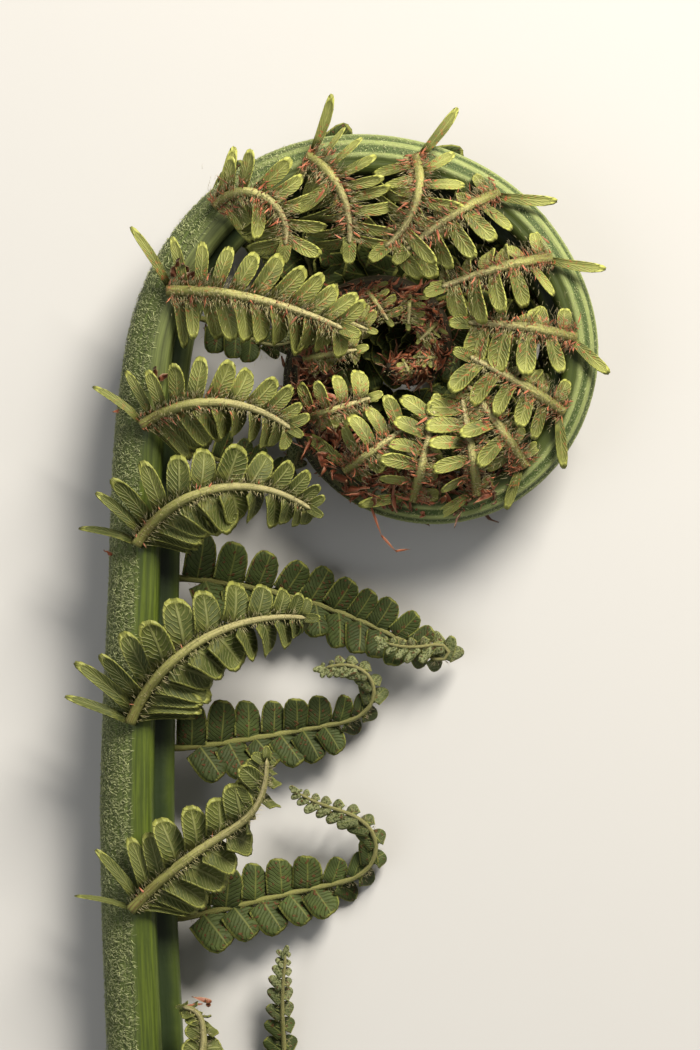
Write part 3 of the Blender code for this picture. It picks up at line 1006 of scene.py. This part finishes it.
class Rib:
    """A leaflet's midrib: points, ways and outward sides along it."""

    def __init__(self, leaf, side, spreading):
        centre, heading, radius = (value[0] for value in LINE.at(leaf.along))
        inward = np.array((math.sin(heading), -math.cos(heading)))
        thickness = MIDRIB_THICKNESS * min(1.0, leaf.lobe / FULL_LOBE)
        seat = np.interp(leaf.along, *zip(*SEAT))
        start = centre + inward * (radius + GAP + 0.1 if spreading else radius * seat)
        height = SPREADING_HEIGHT * radius if spreading else radius + GAP + thickness / 2
        self.leaf = leaf
        self.side = side
        self.t = t = np.linspace(0.0, 1.0, RIB_STEPS + 1)
        hooked = ease((t - leaf.hook_from) / (leaf.hook_to - leaf.hook_from))
        hooked -= HOOK_RELAX * ease((t - leaf.hook_to) / max(1.0 - leaf.hook_to, GAP))
        self.headings = heading + np.radians(leaf.lean + leaf.turn * t + leaf.hook * hooked)
        halfway = (self.headings[1:] + self.headings[:-1]) / 2
        moves = leaf.length / RIB_STEPS * np.column_stack((np.cos(halfway), np.sin(halfway)))
        plan = start + np.vstack(((0.0, 0.0), np.cumsum(moves, axis=0)))
        middle = leaf.middle * half_depth(start[1])
        tip = leaf.tip * half_depth(start[1])
        z = height + (middle - height) * ease(t / 0.4) + (tip - middle) * ease((t - 0.4) / 0.6)
        self.points = np.column_stack((plan, side * z))
        root = centre + inward * radius * (ROOT_REACH if spreading else seat)
        self.root = np.append(root, side * radius * (SPREADING_HEIGHT if spreading else ROOT_REACH))

    def at(self, t):
        """Point, way along, and outward side at each share of the length."""
        rows = (self.points, np.gradient(self.points, self.t, axis=0))
        point, way = (np.column_stack([np.interp(t, self.t, axis) for axis in row.T]) for row in rows)
        way = unit(way)
        out = np.zeros_like(way)
        out[:, 2] = self.side
        return point, way, square_to(out, way), np.interp(t, self.t, self.headings)


def add_costa(rib, radius, young, tone, finish):
    """A leaflet's midrib: a tapering tube that grows out of the stalk."""
    def form(s, a):
        t = np.clip((s - FOOT) / (1.0 - FOOT), 0.0, 1.0)
        point, way, out, _ = rib.at(t)
        foot = ease(1.0 - s / FOOT)[:, None]
        point = point * (1.0 - foot) + rib.root * foot
        size = radius * costa_share(t) * (1.0 + 0.25 * foot[:, 0])
        size = np.where((s < 1e-4) | (s > 1.0 - 1e-4), 0.0, size)
        turn = 2.0 * math.pi * a
        oval = 0.92 + 0.08 * np.cos(2.0 * turn)
        points = point + turned(np.cross(out, way), out, turn) * (size * oval)[:, None]
        return points, {"tone": np.full(len(s), tone), "young": np.full(len(s), young)}
    costa = add_tube("costa", RIB_STEPS + 4, 8, form)
    costa.data.materials.append(finish)
    return costa


# A row of lobes: where its first lobe sits as a share of a gap, its fold, roll and curl in
# degrees with their spread, its width in gaps, its sweep, and what a hooked tip adds to
# the fold of a spreading leaflet and of any other.
LobeRow = namedtuple("LobeRow", "seat fold fold_spread roll roll_spread wide curl sweep hook others_hook")
OPEN_ROW = LobeRow(0.35, -4.0, 5.0, 10.0, 8.0, (1.02, 1.2), -16.0, 0.09, -8.0, 6.0)
FOLDED_ROW = LobeRow(0.6, 6.0, 6.0, -26.0, 9.0, (1.15, 1.35), -24.0, -0.12, -82.0, 46.0)
CURL_SPREAD = 11.0

# Lobes along a midrib: the fewest, how their gaps shrink towards a spreading tip, grow on
# a young leaflet and crowd at the ends of an old one, the range of their lengths, the
# spread of their angles, how far ahead of a hook they follow it, how soon they are all
# the way round, and how deep they sit in the midrib.
FEWEST_LOBES = 4
SPREADING_TAPER = 0.62
YOUNG_TAPER = -0.1
CROWDING = 0.5
LENGTH_RANGE = (0.9, 1.08)
ANGLE_SPREAD = 3.5
HOOK_LEAD = 0.08
HOOK_SHARE = 0.35
SINK = 0.35

# The last two lobes at a leaflet's tip: share of the longest lobe, and turn in degrees.
TIP_LOBES = ((0.5, 0.3), (4.0, -22.0))


def lobe_stations(leaf, row, spreading, young):
    """Where a row's lobes sit, as shares of the midrib, and the gap at each."""
    gap = np.interp(leaf.length, *LOBE_SPACING)
    if leaf.along > COIL_SPACING[0][0]:
        gap = np.interp(leaf.along, *COIL_SPACING)
    count = max(FEWEST_LOBES, round(leaf.length / gap))
    taper = SPREADING_TAPER if spreading else YOUNG_TAPER * young
    crowding = 0.0 if spreading else CROWDING * (1.0 - young)
    s = (np.arange(count) + row.seat) / count
    t = s * (1.0 + taper - taper * s) - crowding / (2.0 * np.pi) * np.sin(2.0 * np.pi * s)
    gaps = leaf.length / count * (1.0 + taper - 2.0 * taper * s)
    return t, gaps * (1.0 - crowding * np.cos(2.0 * np.pi * s))


def lobe_row(rib, row, spreading, costa_radius, young, rng, lobe):
    """One row of lobes. Returns the lobes' points and how downy each one looks."""
    leaf = rib.leaf
    t, gaps = lobe_stations(leaf, row, spreading, young)
    count = len(t)
    point, _, out, heading = rib.at(t)
    reach = leaf.lobe * between((np.interp(t, *LOBE_SHARE), np.interp(t, *YOUNG_SHARE)), young)
    reach = reach * rng.uniform(*LENGTH_RANGE, count)
    angle = SPREADING_ANGLE if spreading else np.interp(leaf.along, *LOBE_ANGLE)
    angle = angle * (1.0 - 0.2 * young * t * t) + rng.normal(0.0, ANGLE_SPREAD, count)
    fan = leaf.fan if rib.side > 0 else leaf.fan * (1.0 - 0.8 * young)
    fanned = fan * np.exp(-t / between(FAN_REACH, young))
    hooked = ease((t - leaf.hook_from + HOOK_LEAD) / (HOOK_SHARE * (leaf.hook_to - leaf.hook_from)))

    # Way of each lobe in the leaflet's plane, and what its place adds to its fold and roll.
    if spreading:
        angle = angle * (1.0 - 0.4 * hooked)
    if row is OPEN_ROW:
        plan = heading + np.radians(angle + fanned)
        tuck = -0.26 * fanned * young
        lean = 0.8 * fanned * (1.0 - young)
    else:
        opened = ease(t / 0.3)
        tucked = float(grown(leaf.along, TUCKED)) if rib.side > 0 else 0.0
        spread = 8.0 * (1.0 - young) * t + 30.0 * young * np.exp(-t / 0.15)
        plan = heading - np.radians(angle + (-14.0 * (1.0 - t) if spreading else spread))
        tuck = (16.0 + 20.0 * tucked) * opened
        lean = 0.0
        reach = reach * (0.86 + 0.16 * opened) * (1.0 - 0.36 * tucked)

    # Fold, roll and width of each lobe, and what a hooked tip changes.
    fold = np.radians(row.fold + tuck + rng.normal(0.0, row.fold_spread, count))
    roll = np.radians(rng.normal(row.roll, row.roll_spread, count) + lean)
    wide = gaps * rng.uniform(*row.wide, count)
    if spreading:
        fold = fold * 0.4 + np.radians(row.hook) * hooked
        roll = roll * 0.6
        reach = reach * (1.0 - 0.1 * hooked)
        wide = wide * (1.0 - 0.3 * hooked)
    elif leaf.hook:
        fold = fold + np.radians(row.others_hook) * hooked
    wide = np.maximum(wide, 0.22 * reach) * (1.0 - 0.45 * np.clip(fanned / 80.0, 0.0, 1.0))
    if rib.side < 0 and not spreading:
        wide = np.maximum(wide * FAR_FILL, 0.42 * reach)
        reach = reach * (1.0 - 0.42 * np.exp(-t / 0.12))

    # The lobes themselves, each let into the midrib.
    ahead = square_to(forward_way(plan), out)
    down = turned(ahead, -out, fold)
    face = turned(out, ahead, fold)
    rolled = turned(face, np.cross(down, face), roll)
    sunk = (SINK * costa_radius * costa_share(t))[:, None]
    base = point - out * sunk + ahead * sunk
    curl = np.radians(rng.normal(row.curl, CURL_SPREAD, count)) * (0.6 if spreading else 1.0)
    waist = 0.0 if spreading else 0.05 + (0.45 if rib.side > 0 else 0.1) * young
    places = curved(lobe, base, down, rolled, reach, wide, curl, 0.0, row.sweep * rib.side, waist)
    return places, ease((t - 0.62) / 0.3) if spreading else np.zeros(count)


def tip_lobes(rib, spreading, young, lobe):
    """The two last lobes, which close a leaflet's tip."""
    share, turn = TIP_LOBES
    point, way, out, _ = rib.at(np.ones(len(share)))
    reach = rib.leaf.lobe * np.array(share) * (0.6 + 0.4 * young)
    ahead = turned(way, np.cross(out, way), np.radians(turn))
    places = curved(lobe, point - way * 0.25 * reach[:, None], ahead, out, reach, 0.55 * reach, -0.4)
    return places, np.full(len(share), float(spreading))


def youth(along):
    """How young a leaflet looks by its distance from the cut end: 0 old, 1 young."""
    return float(grown(along, YOUNG))


def midrib_wool(rib, radius, young, rng, pattern, finish):
    """Woolly hairs on the midrib and beside it."""
    leaf = rib.leaf
    count = int(leaf.length * between(WOOL, young))
    t = rng.uniform(0.02, 0.97, count)
    point, way, out, _ = rib.at(t)
    sign = rng.choice((-1.0, 1.0), count)
    side_way = np.cross(out, way) * sign[:, None]
    lean = rng.uniform(0.1, 0.9, count)[:, None]
    ahead = unit(side_way + way * rng.normal(0.3, 0.4, count)[:, None] + out * lean * 0.5)
    thick = radius * costa_share(t)
    spread = rng.exponential(0.1 + 0.5 * young, count)
    on_top = rng.uniform(0.0, 1.0, count) < WOOL_ON_TOP
    turn = np.where(on_top, rng.uniform(-WOOL_TURN, WOOL_TURN, count), WOOL_TURN)
    spread = np.where(on_top, 0.0, spread)
    base = (point + side_way * (thick * 0.92 * np.sin(turn) + spread)[:, None]
            + out * (thick * 0.92 * np.cos(turn) + 0.1 * (turn > 1.2))[:, None])
    length = rng.uniform(0.35, 1.0, count) * (0.4 + 0.1 * leaf.lobe) * np.where(on_top, 0.55, 1.0)
    places = curved(pattern, base, ahead, square_to(out, ahead), length, np.full(count, WOOL_WIDTH),
                    np.radians(rng.normal(-60.0, 40.0, count)))
    return copies("wool", pattern, places, (finish,), tone=rng.uniform(0.0, 1.0, count))


def build_leaflet(name, leaf, side, spreading, sizes, looks, masters, rng):
    """A leaflet: midrib, two rows of lobes and the woolly hairs beside the midrib."""
    rib = Rib(leaf, side, spreading)
    young = youth(leaf.along)
    radius = sizes.costa_radius * min(1.0, (leaf.length / 18.0) ** 0.5 * (1.0 + 0.25 * young))
    radius = 0.62 * radius if spreading else radius
    tone = rng.uniform(0.2, 0.8)
    costa = add_costa(rib, radius, young, tone, looks["midrib"])
    lobe = masters["lobe"]
    rows = [lobe_row(rib, row, spreading, radius, young, rng, lobe) for row in (OPEN_ROW, FOLDED_ROW)]
    places, downy = zip(*rows, tip_lobes(rib, spreading, young, lobe))
    places = np.vstack(places)
    lobes = copies(name, lobe, places, (looks["underside"], looks["upperside"]), young=young,
                   tone=random_tones(rng, tone, 0.22, len(places)), downy=np.concatenate(downy))
    wool = midrib_wool(rib, radius, young, rng, masters["hair"], looks["wool"])
    return join(name, (lobes, costa, wool))


# ---------------------------------------------------------------------------
# Operators
# ---------------------------------------------------------------------------


def finish_piece(piece, slot, *nodes):
    """Ties a piece to the frame: its body and the nodes it stands for, which it hides. The slot is not used.
    """
    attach(piece, "root")
    if nodes:
        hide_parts(*nodes)


def heart_leaves(fuller):
    """The youngest leaflets, each a little smaller than the one before."""
    for k in range(HEART_PAIRS):
        share = k / (HEART_PAIRS - 1)
        size = HEART_SHRINK ** k
        sunk = 0.4 + 0.6 * size
        yield HEART._replace(
            along=between((HEART_START, HEART_END), (1.0 + HEART_CROWD - HEART_CROWD * share) * share),
            length=HEART.length * size * fuller, lobe=HEART.lobe * size * fuller,
            middle=HEART.middle * sunk, tip=HEART.tip * sunk)


# The skin's points round the stalk, the cut end's rings as shares of the radius, the
# ridges that the coil gets (number, height, and angles over which they start), the finer
# ones all along, the bevel of the cut end and the last ring's share of the radius.
SKIN_ROWS = 72
CAP_SHARES = (0.0, 0.3, 0.6, 0.84, 0.97)
RIDGES = 11.0
RIDGE_HEIGHT = 0.035
RIDGES_FROM = (40.0, 60.0)
FINE_RIDGES = 17.0
FINE_RIDGE_HEIGHT = 0.006
CUT_BEVEL = 0.12
TIP_SHARE = 0.75


class FERN_OT_stalk(bpy.types.Operator):
    """Stalk skin: the grooved section swept along the stalk at fine steps, with its cut end"""
    bl_idname = "fern.stalk"
    bl_label = "Stalk"

    def execute(self, context):
        along = LINE.rings(1.0, 3.0)
        caps = len(CAP_SHARES)
        stations = np.concatenate((np.zeros(caps), along, (along[-1],)))
        shares = np.concatenate((CAP_SHARES, np.ones(len(along)), (0.0,)))
        stations[caps] = CUT_BEVEL
        shares[-2] = TIP_SHARE

        def form(s, a):
            k = np.round(s * (len(stations) - 1)).astype(int)
            around = (a - 0.5) * 360.0
            here = stations[k]
            ridge = np.cos(np.radians(around * RIDGES) + 0.5 * np.sin(here * 0.11))
            fine = np.cos(np.radians(around * FINE_RIDGES) + here * 0.05)
            flank = grown(np.abs(around), RIDGES_FROM)
            flute = RIDGE_HEIGHT * (grown(here, RIDGED) * ridge * flank - 1.0) + FINE_RIDGE_HEIGHT * fine
            points, _ = LINE.skin(here, around, (groove(around) + flute) * shares[k])
            cut = np.where(k < caps, 1.0 - 0.5 * shares[k] ** 6, 0.0)
            return points, {"cut": cut, "ridge": 0.5 + 0.5 * ridge}

        skin = add_tube("stalk_skin", len(stations) - 1, SKIN_ROWS, form, clear_of_floor=False)
        layer = skin.data.uv_layers[0].data
        uv = read(layer, "uv", 2)
        uv[:, 0] = stations[np.round(uv[:, 0] * (len(stations) - 1)).astype(int)] / LINE.length
        write(layer, "uv", uv)
        skin.data.materials.append(skin_finish(context.scene.fern_colours))
        finish_piece(skin, "stalk", "rachis")
        return {"FINISHED"}


# Where the hairs turn from pressed down to combed along the coil, where they grow paler,
# and the radius of stalk on which they are longest and on which all of them are kept.
HAIRS_COMBED = (100.0, 130.0)
HAIRS_PALER = (80.0, 110.0)
WIDEST_STALK = 3.8
ALL_KEPT = 3.9

# A hair: its root's share of the radius, its least and most lean and curl in degrees, and
# the range of its length and width about the usual ones.
HAIR_ROOT = 0.985
HAIR_LEAN = (6.0, 70.0)
HAIR_CURL = (5.0, 55.0)
HAIR_LENGTHS = (0.6, 1.4)
HAIR_WIDTHS = (0.75, 1.25)


def stalk_hairs(name, pattern, span, count, gather, sizes, finish, rng):
    """Short crinkled hairs pressed to the woolly flanks of a stretch of the stalk."""
    share = rng.uniform(0.0, 1.0, count)
    along = between(span, share * (1.0 - gather + gather * share))
    keep = rng.uniform(0.0, ALL_KEPT, count) < LINE.at(along)[2]
    along = along[keep]
    count = len(along)
    around = rng.uniform(HAIRY_FROM, 360.0 - HAIRY_FROM, count)
    base, out = LINE.skin(along, around, np.full(count, HAIR_ROOT))
    _, heading, radius = LINE.at(along)
    forward = forward_way(heading)
    across = np.cross(out, forward) * rng.choice((-1.0, 1.0), count)[:, None]
    combed = grown(along, HAIRS_COMBED)
    pressed = turned(across, forward, rng.normal(0.0, 0.65, count) + combed * 0.9)
    lean = np.radians(np.clip(rng.gamma(3.0, 7.0, count) * (1.0 - 0.4 * combed), *HAIR_LEAN))
    ahead = unit(turned(pressed, out, lean))
    size = np.clip(radius / WIDEST_STALK, 0.35, 1.0)
    length = sizes.hair_length * rng.uniform(*HAIR_LENGTHS, count) * (0.4 + 0.6 * size)
    length = length * (1.0 - 0.25 * combed)
    thick = sizes.hair_radius * rng.uniform(*HAIR_WIDTHS, count) * (0.5 + 0.5 * size)
    thick = thick * (1.0 - 0.2 * combed)
    curl = -lean - np.radians(rng.uniform(*HAIR_CURL, count))
    places = curved(pattern, base, ahead, square_to(out, ahead), length, 2.0 * thick, curl)
    tone = rng.uniform(0.0, 1.0, count) * (0.62 + 0.38 * grown(along, HAIRS_PALER))
    return copies(name, pattern, places, (finish,), tone=tone)


class FERN_OT_stalk_hairs(bpy.types.Operator):
    """Silvery hairs over the flanks of the stalk, straight and coiled"""
    bl_idname = "fern.stalk_hairs"
    bl_label = "Stalk Hairs"

    def execute(self, context):
        sizes = context.scene.fern_sizes
        colours = context.scene.fern_colours
        rng = np.random.default_rng(HAIR_SEED)
        finish = look("stalk_hair", hair_finish, "stalk_hair", colours.hair, shade(colours.flank, 3.0))
        hair = master_hair()
        ends = (HAIRS_FROM, LINE.bend_start / 2, LINE.bend_start, COIL_HAIRS_PARTED, COIL_HAIRS_END)
        counts = (sizes.stalk_hairs, sizes.stalk_hairs, sizes.coil_hairs, sizes.coil_hairs * 2 // 3)
        stretches = ("lower_stalk", "upper_stalk", "outer_coil", "inner_coil")
        for k, stretch in enumerate(stretches):
            gather = COIL_HAIRS_GATHER if stretch == "outer_coil" else 0.0
            hairs = stalk_hairs(
                f"{stretch}_hairs", hair, ends[k:k + 2], counts[k], gather, sizes, finish, rng)
            finish_piece(hairs, "stalk")
        return {"FINISHED"}


def build_row(context, row, leaves, side, spreading, seed, slot):
    """A row of leaflets, each a piece of its own. The first few may spread beside the stalk."""
    sizes = context.scene.fern_sizes
    colours = context.scene.fern_colours
    looks = {
        "underside": look("lobe_underside", underside_finish, colours),
        "upperside": look("lobe_upperside", upperside_finish, colours),
        "midrib": look("midrib", costa_finish, colours),
        "wool": look("lobe_wool", hair_finish, "lobe_wool", shade(colours.wool, 0.62), colours.costa),
    }
    masters = {"lobe": master_lobe(sizes.lobe_thickness), "hair": master_hair()}
    for k, leaf in enumerate(leaves):
        name = f"leaflet_{row}_{k + 1:02d}"
        rng = np.random.default_rng(seed + k)
        leaflet = build_leaflet(name, leaf, side, k < spreading, sizes, looks, masters, rng)
        finish_piece(leaflet, slot, f"pinna_{row}_{k + 1:02d}")


class FERN_OT_near_leaflets(bpy.types.Operator):
    """Near row of leaflets, whose undersides look up"""
    bl_idname = "fern.near_leaflets"
    bl_label = "Near Leaflets"

    def execute(self, context):
        leaves = (*NEAR, *heart_leaves(NEAR_FULLNESS))
        build_row(context, "near", leaves, 1, 0, NEAR_SEED, "leaflet_underside")
        return {"FINISHED"}


class FERN_OT_far_leaflets(bpy.types.Operator):
    """Far row of leaflets, the lowest of which spread beside the stalk"""
    bl_idname = "fern.far_leaflets"
    bl_label = "Far Leaflets"

    def execute(self, context):
        leaves = (*FAR, *heart_leaves(FAR_FULLNESS))
        build_row(context, "far", leaves, -1, FAR_SPREADING, FAR_SEED, "leaflet_upperside")
        return {"FINISHED"}


def midrib_scales(leaf, side, spreading, sizes, rng):
    """Base, way, outward side and length of each scale along one midrib."""
    rib = Rib(leaf, side, spreading)
    young = youth(leaf.along)
    count = int(between(LEAFLET_SCALES, young) * min(1.0, leaf.length / FULLY_SCALED))
    point, way, out, _ = rib.at(rng.beta(0.8, 1.5, count))
    across = np.cross(out, way) * rng.choice((-1.0, 1.0), count)[:, None]
    off = np.minimum(np.abs(rng.normal(0.35, 0.55, count)), 0.4 + 1.2 * young)[:, None]
    ahead = unit(across + way * rng.normal(0.4, 0.6, count)[:, None]
                 + out * rng.uniform(-0.1, 0.45, count)[:, None])
    return point + across * off + out * 0.3, ahead, out, sizes.scale_length * rng.gamma(4.0, 0.2, count)


def leaflet_scales(name, pattern, leaves, side, finish, sizes, rng):
    """Scales along the midribs of a row of leaflets, thickest at their bases in the coil."""
    scales = [midrib_scales(leaf, side, side < 0 and k < FAR_SPREADING, sizes, rng)
              for k, leaf in enumerate(leaves)]
    base, ahead, out, length = (np.concatenate(values) for values in zip(*scales))
    count = len(length)
    width = length * rng.uniform(0.1, 0.2, count)
    curl = np.radians(rng.normal(-10.0, 60.0, count))
    twist = rng.normal(0.0, 1.6, count)
    places = curved(pattern, base, ahead, square_to(out, ahead), length, width, curl, twist)
    return copies(name, pattern, places, (finish,), tone=random_tones(rng, 0.62, 0.3, count))


def heart_scales(name, pattern, finish, rng):
    """Long scales that lie every way round the youngest stretch of the stalk."""
    count = HEART_SCALES
    along = LINE.length - (LINE.length - HEART_SCALES_FROM) * rng.beta(1.2, 1.4, count)
    centre, heading, radius = LINE.at(along)
    height = rng.choice((-1.0, 1.0), count) * radius * rng.uniform(0.5, 1.05, count)
    inward = inward_way(heading)
    base = np.column_stack((centre, height)) + inward * (radius * rng.uniform(-0.7, 0.9, count))[:, None]
    ahead = unit(inward * 0.8 + rng.normal(0.0, 0.6, (count, 3)))
    out = unit(np.cross(ahead, unit(rng.normal(0.0, 1.0, (count, 3)))))
    length = rng.uniform(0.8, 3.0, count)
    places = curved(pattern, base, ahead, out, length, length * rng.uniform(0.1, 0.3, count),
                    rng.normal(0.0, 1.5, count), rng.normal(0.0, 2.0, count))
    return copies(name, pattern, places, (finish,), tone=random_tones(rng, 0.35, 0.28, count))


class FERN_OT_scales(bpy.types.Operator):
    """Rust-red papery scales on the leaflets' midribs and round the heart of the coil"""
    bl_idname = "fern.scales"
    bl_label = "Papery Scales"

    def execute(self, context):
        sizes = context.scene.fern_sizes
        finish = look("papery_scale", scale_finish, context.scene.fern_colours)
        scale = master_scale()
        heart = tuple(heart_leaves(1.0))
        rng = np.random.default_rng(SCALE_SEED)
        for name, leaves, side in (("scales_near", NEAR, 1), ("scales_far", FAR, -1)):
            scales = leaflet_scales(name, scale, leaves + heart, side, finish, sizes, rng)
            finish_piece(scales, "leaflet_underside")
        finish_piece(heart_scales("scales_heart", scale, finish, rng), "leaflet_underside")
        return {"FINISHED"}


# Dried bits that cling to the frond: (x, y, z, heading, length, width, curl, twist, tone).
DRIED_BITS = (
    (-18.7, -64.2, 5.3, 165, 1.9, 0.5, 20, 40, 0.25),
    (-19.6, -64.4, 5.3, 186, 2.6, 0.22, 12, 20, 0.45),
    (-18.9, -64.7, 5.1, 120, 1.1, 0.5, 70, 90, 0.2),
    (-22.6, 7.6, 4.6, 70, 2.2, 0.9, 60, 80, 0.05),
    (-21.8, 7.2, 4.7, 30, 2.4, 0.8, -50, 60, 0.1),
    (-21.0, 7.9, 4.4, 120, 1.8, 0.7, 90, -70, 0.0),
    (-20.3, 7.6, 4.6, 10, 1.6, 0.6, 40, 120, 0.15),
    (-24.6, -3.0, 4.0, 80, 2.0, 0.9, 60, 70, 0.05),
    (-24.0, -2.6, 4.2, 30, 1.6, 0.7, -40, 90, 0.1),
    (-2.9, -15.2, 1.5, -70, 3.0, 0.28, 12, 30, 0.55),
    (-1.9, -18.0, 1.4, -48, 2.2, 0.26, 20, 20, 0.45),
    (-0.5, -19.6, 1.6, 8, 1.5, 0.24, -30, 40, 0.5),
    (-28.7, -20.0, 1.6, 150, 1.0, 0.4, 40, 90, 0.7),
    (-27.9, -5.6, 1.2, 190, 0.8, 0.4, 40, 60, 0.6),
    (15.9, -10.0, 0.4, 62, 3.6, 0.45, 20, 90, 0.5),
    (17.2, -7.2, 0.6, 66, 2.0, 0.35, 30, 40, 0.5),
)


class FERN_OT_dried_bits(bpy.types.Operator):
    """Dried bits: curls at a leaflet's tip and at two bases, and loose strands below the coil"""
    bl_idname = "fern.dried_bits"
    bl_label = "Dried Bits"

    def execute(self, context):
        x, y, z, heading, length, width, curl, twist, tone = np.array(DRIED_BITS, float).T
        heading, curl, twist = np.radians((heading, curl, twist))
        out = np.tile((0.0, 0.0, 1.0), (len(x), 1))
        scale = master_scale()
        base = np.column_stack((x, y, z))
        places = curved(scale, base, forward_way(heading), out, length, width, curl, twist)
        finish = look("papery_scale", scale_finish, context.scene.fern_colours)
        finish_piece(copies("dried_bits", scale, places, (finish,), tone=tone), "leaflet_underside")
        return {"FINISHED"}


# Name, place in metres, size, watts and colour of each light.
SOFTBOXES = (
    ("key_light", (0.22, 0.385, 0.36), 0.24, 7.4, (1.0, 0.94, 0.84)),
    ("fill_light", (-0.5, -0.1, 0.6), 0.5, 1.6, (0.95, 0.97, 1.0)),
)
WORLD_COLOUR = (1.0, 0.98, 0.94, 1.0)
WORLD_STRENGTH = 0.22


def add_softbox(name, location, size, energy, colour):
    """A square soft light that looks at the middle of the frond."""
    light = bpy.data.lights.new(name, "AREA")
    light.size = size
    light.energy = energy
    light.color = colour
    lamp = bpy.data.objects.new(name, light)
    lamp.location = location
    lamp.rotation_mode = "QUATERNION"
    lamp.rotation_quaternion = lamp.location.to_track_quat("Z", "Y")
    bpy.context.scene.collection.objects.link(lamp)


# What the camera looks at, in the frond's plane, and its sensor's width in millimetres.
VIEW_CENTRE = (-5.0, -17.0)
SENSOR = 36.0


class FERN_OT_stage(bpy.types.Operator):
    """Pale floor, soft studio lights and the camera that looks squarely down on the frond"""
    bl_idname = "fern.stage"
    bl_label = "Stage"

    def execute(self, context):
        sizes = context.scene.fern_sizes
        start_piece()
        bpy.ops.mesh.primitive_plane_add(size=4.0, location=(0.0, 0.0, 0.0))
        floor = bpy.context.object
        floor.name = "studio_floor"
        floor.data.materials.append(look("studio_floor", floor_finish, context.scene.fern_colours))
        for lamp in SOFTBOXES:
            add_softbox(*lamp)
        world = bpy.data.worlds.new("studio")
        world.use_nodes = True
        background = world.node_tree.nodes["Background"]
        background.inputs["Color"].default_value = WORLD_COLOUR
        background.inputs["Strength"].default_value = WORLD_STRENGTH
        context.scene.world = world
        data = bpy.data.cameras.new("camera")
        data.sensor_width = SENSOR
        data.lens = SENSOR * sizes.lens_distance / sizes.view_height
        data.clip_start = 0.05
        data.clip_end = 10.0
        camera = bpy.data.objects.new("camera", data)
        context.scene.collection.objects.link(camera)
        high = sizes.lens_distance / MM
        camera.matrix_world = PLACE.matrix() @ Matrix.Translation(
            [share * MM for share in (*VIEW_CENTRE, high)])
        context.scene.camera = camera
        context.scene.view_settings.view_transform = "Standard"
        return {"FINISHED"}


class FERN_PT_frond(bpy.types.Panel):
    """Sizes, colours and steps of the frond"""
    bl_idname = "FERN_PT_frond"
    bl_label = "Young Fern Frond"
    bl_space_type = "VIEW_3D"
    bl_region_type = "UI"
    bl_category = "Fern"

    def draw(self, context):
        layout = self.layout
        for group in (context.scene.fern_sizes, context.scene.fern_colours):
            box = layout.box()
            for key in group.bl_rna.properties.keys():
                if key not in {"rna_type", "name"}:
                    box.prop(group, key)
        for step in STEPS:
            layout.operator(step.bl_idname)


STEPS = (FERN_OT_stalk, FERN_OT_stalk_hairs, FERN_OT_near_leaflets, FERN_OT_far_leaflets,
         FERN_OT_scales, FERN_OT_dried_bits, FERN_OT_stage)
CLASSES = (FrondSizes, FrondColours, *STEPS, FERN_PT_frond)


def register():
    for made in CLASSES:
        bpy.utils.register_class(made)
    bpy.types.Scene.fern_sizes = bpy.props.PointerProperty(type=FrondSizes)
    bpy.types.Scene.fern_colours = bpy.props.PointerProperty(type=FrondColours)


def unregister():
    del bpy.types.Scene.fern_colours
    del bpy.types.Scene.fern_sizes
    for made in reversed(CLASSES):
        bpy.utils.unregister_class(made)


def main():
    register()
    bpy.ops.fern.stalk()
    bpy.ops.fern.stalk_hairs()
    bpy.ops.fern.near_leaflets()
    bpy.ops.fern.far_leaflets()
    bpy.ops.fern.scales()
    bpy.ops.fern.dried_bits()
    bpy.ops.fern.stage()


if __name__ == "__main__":
    main()
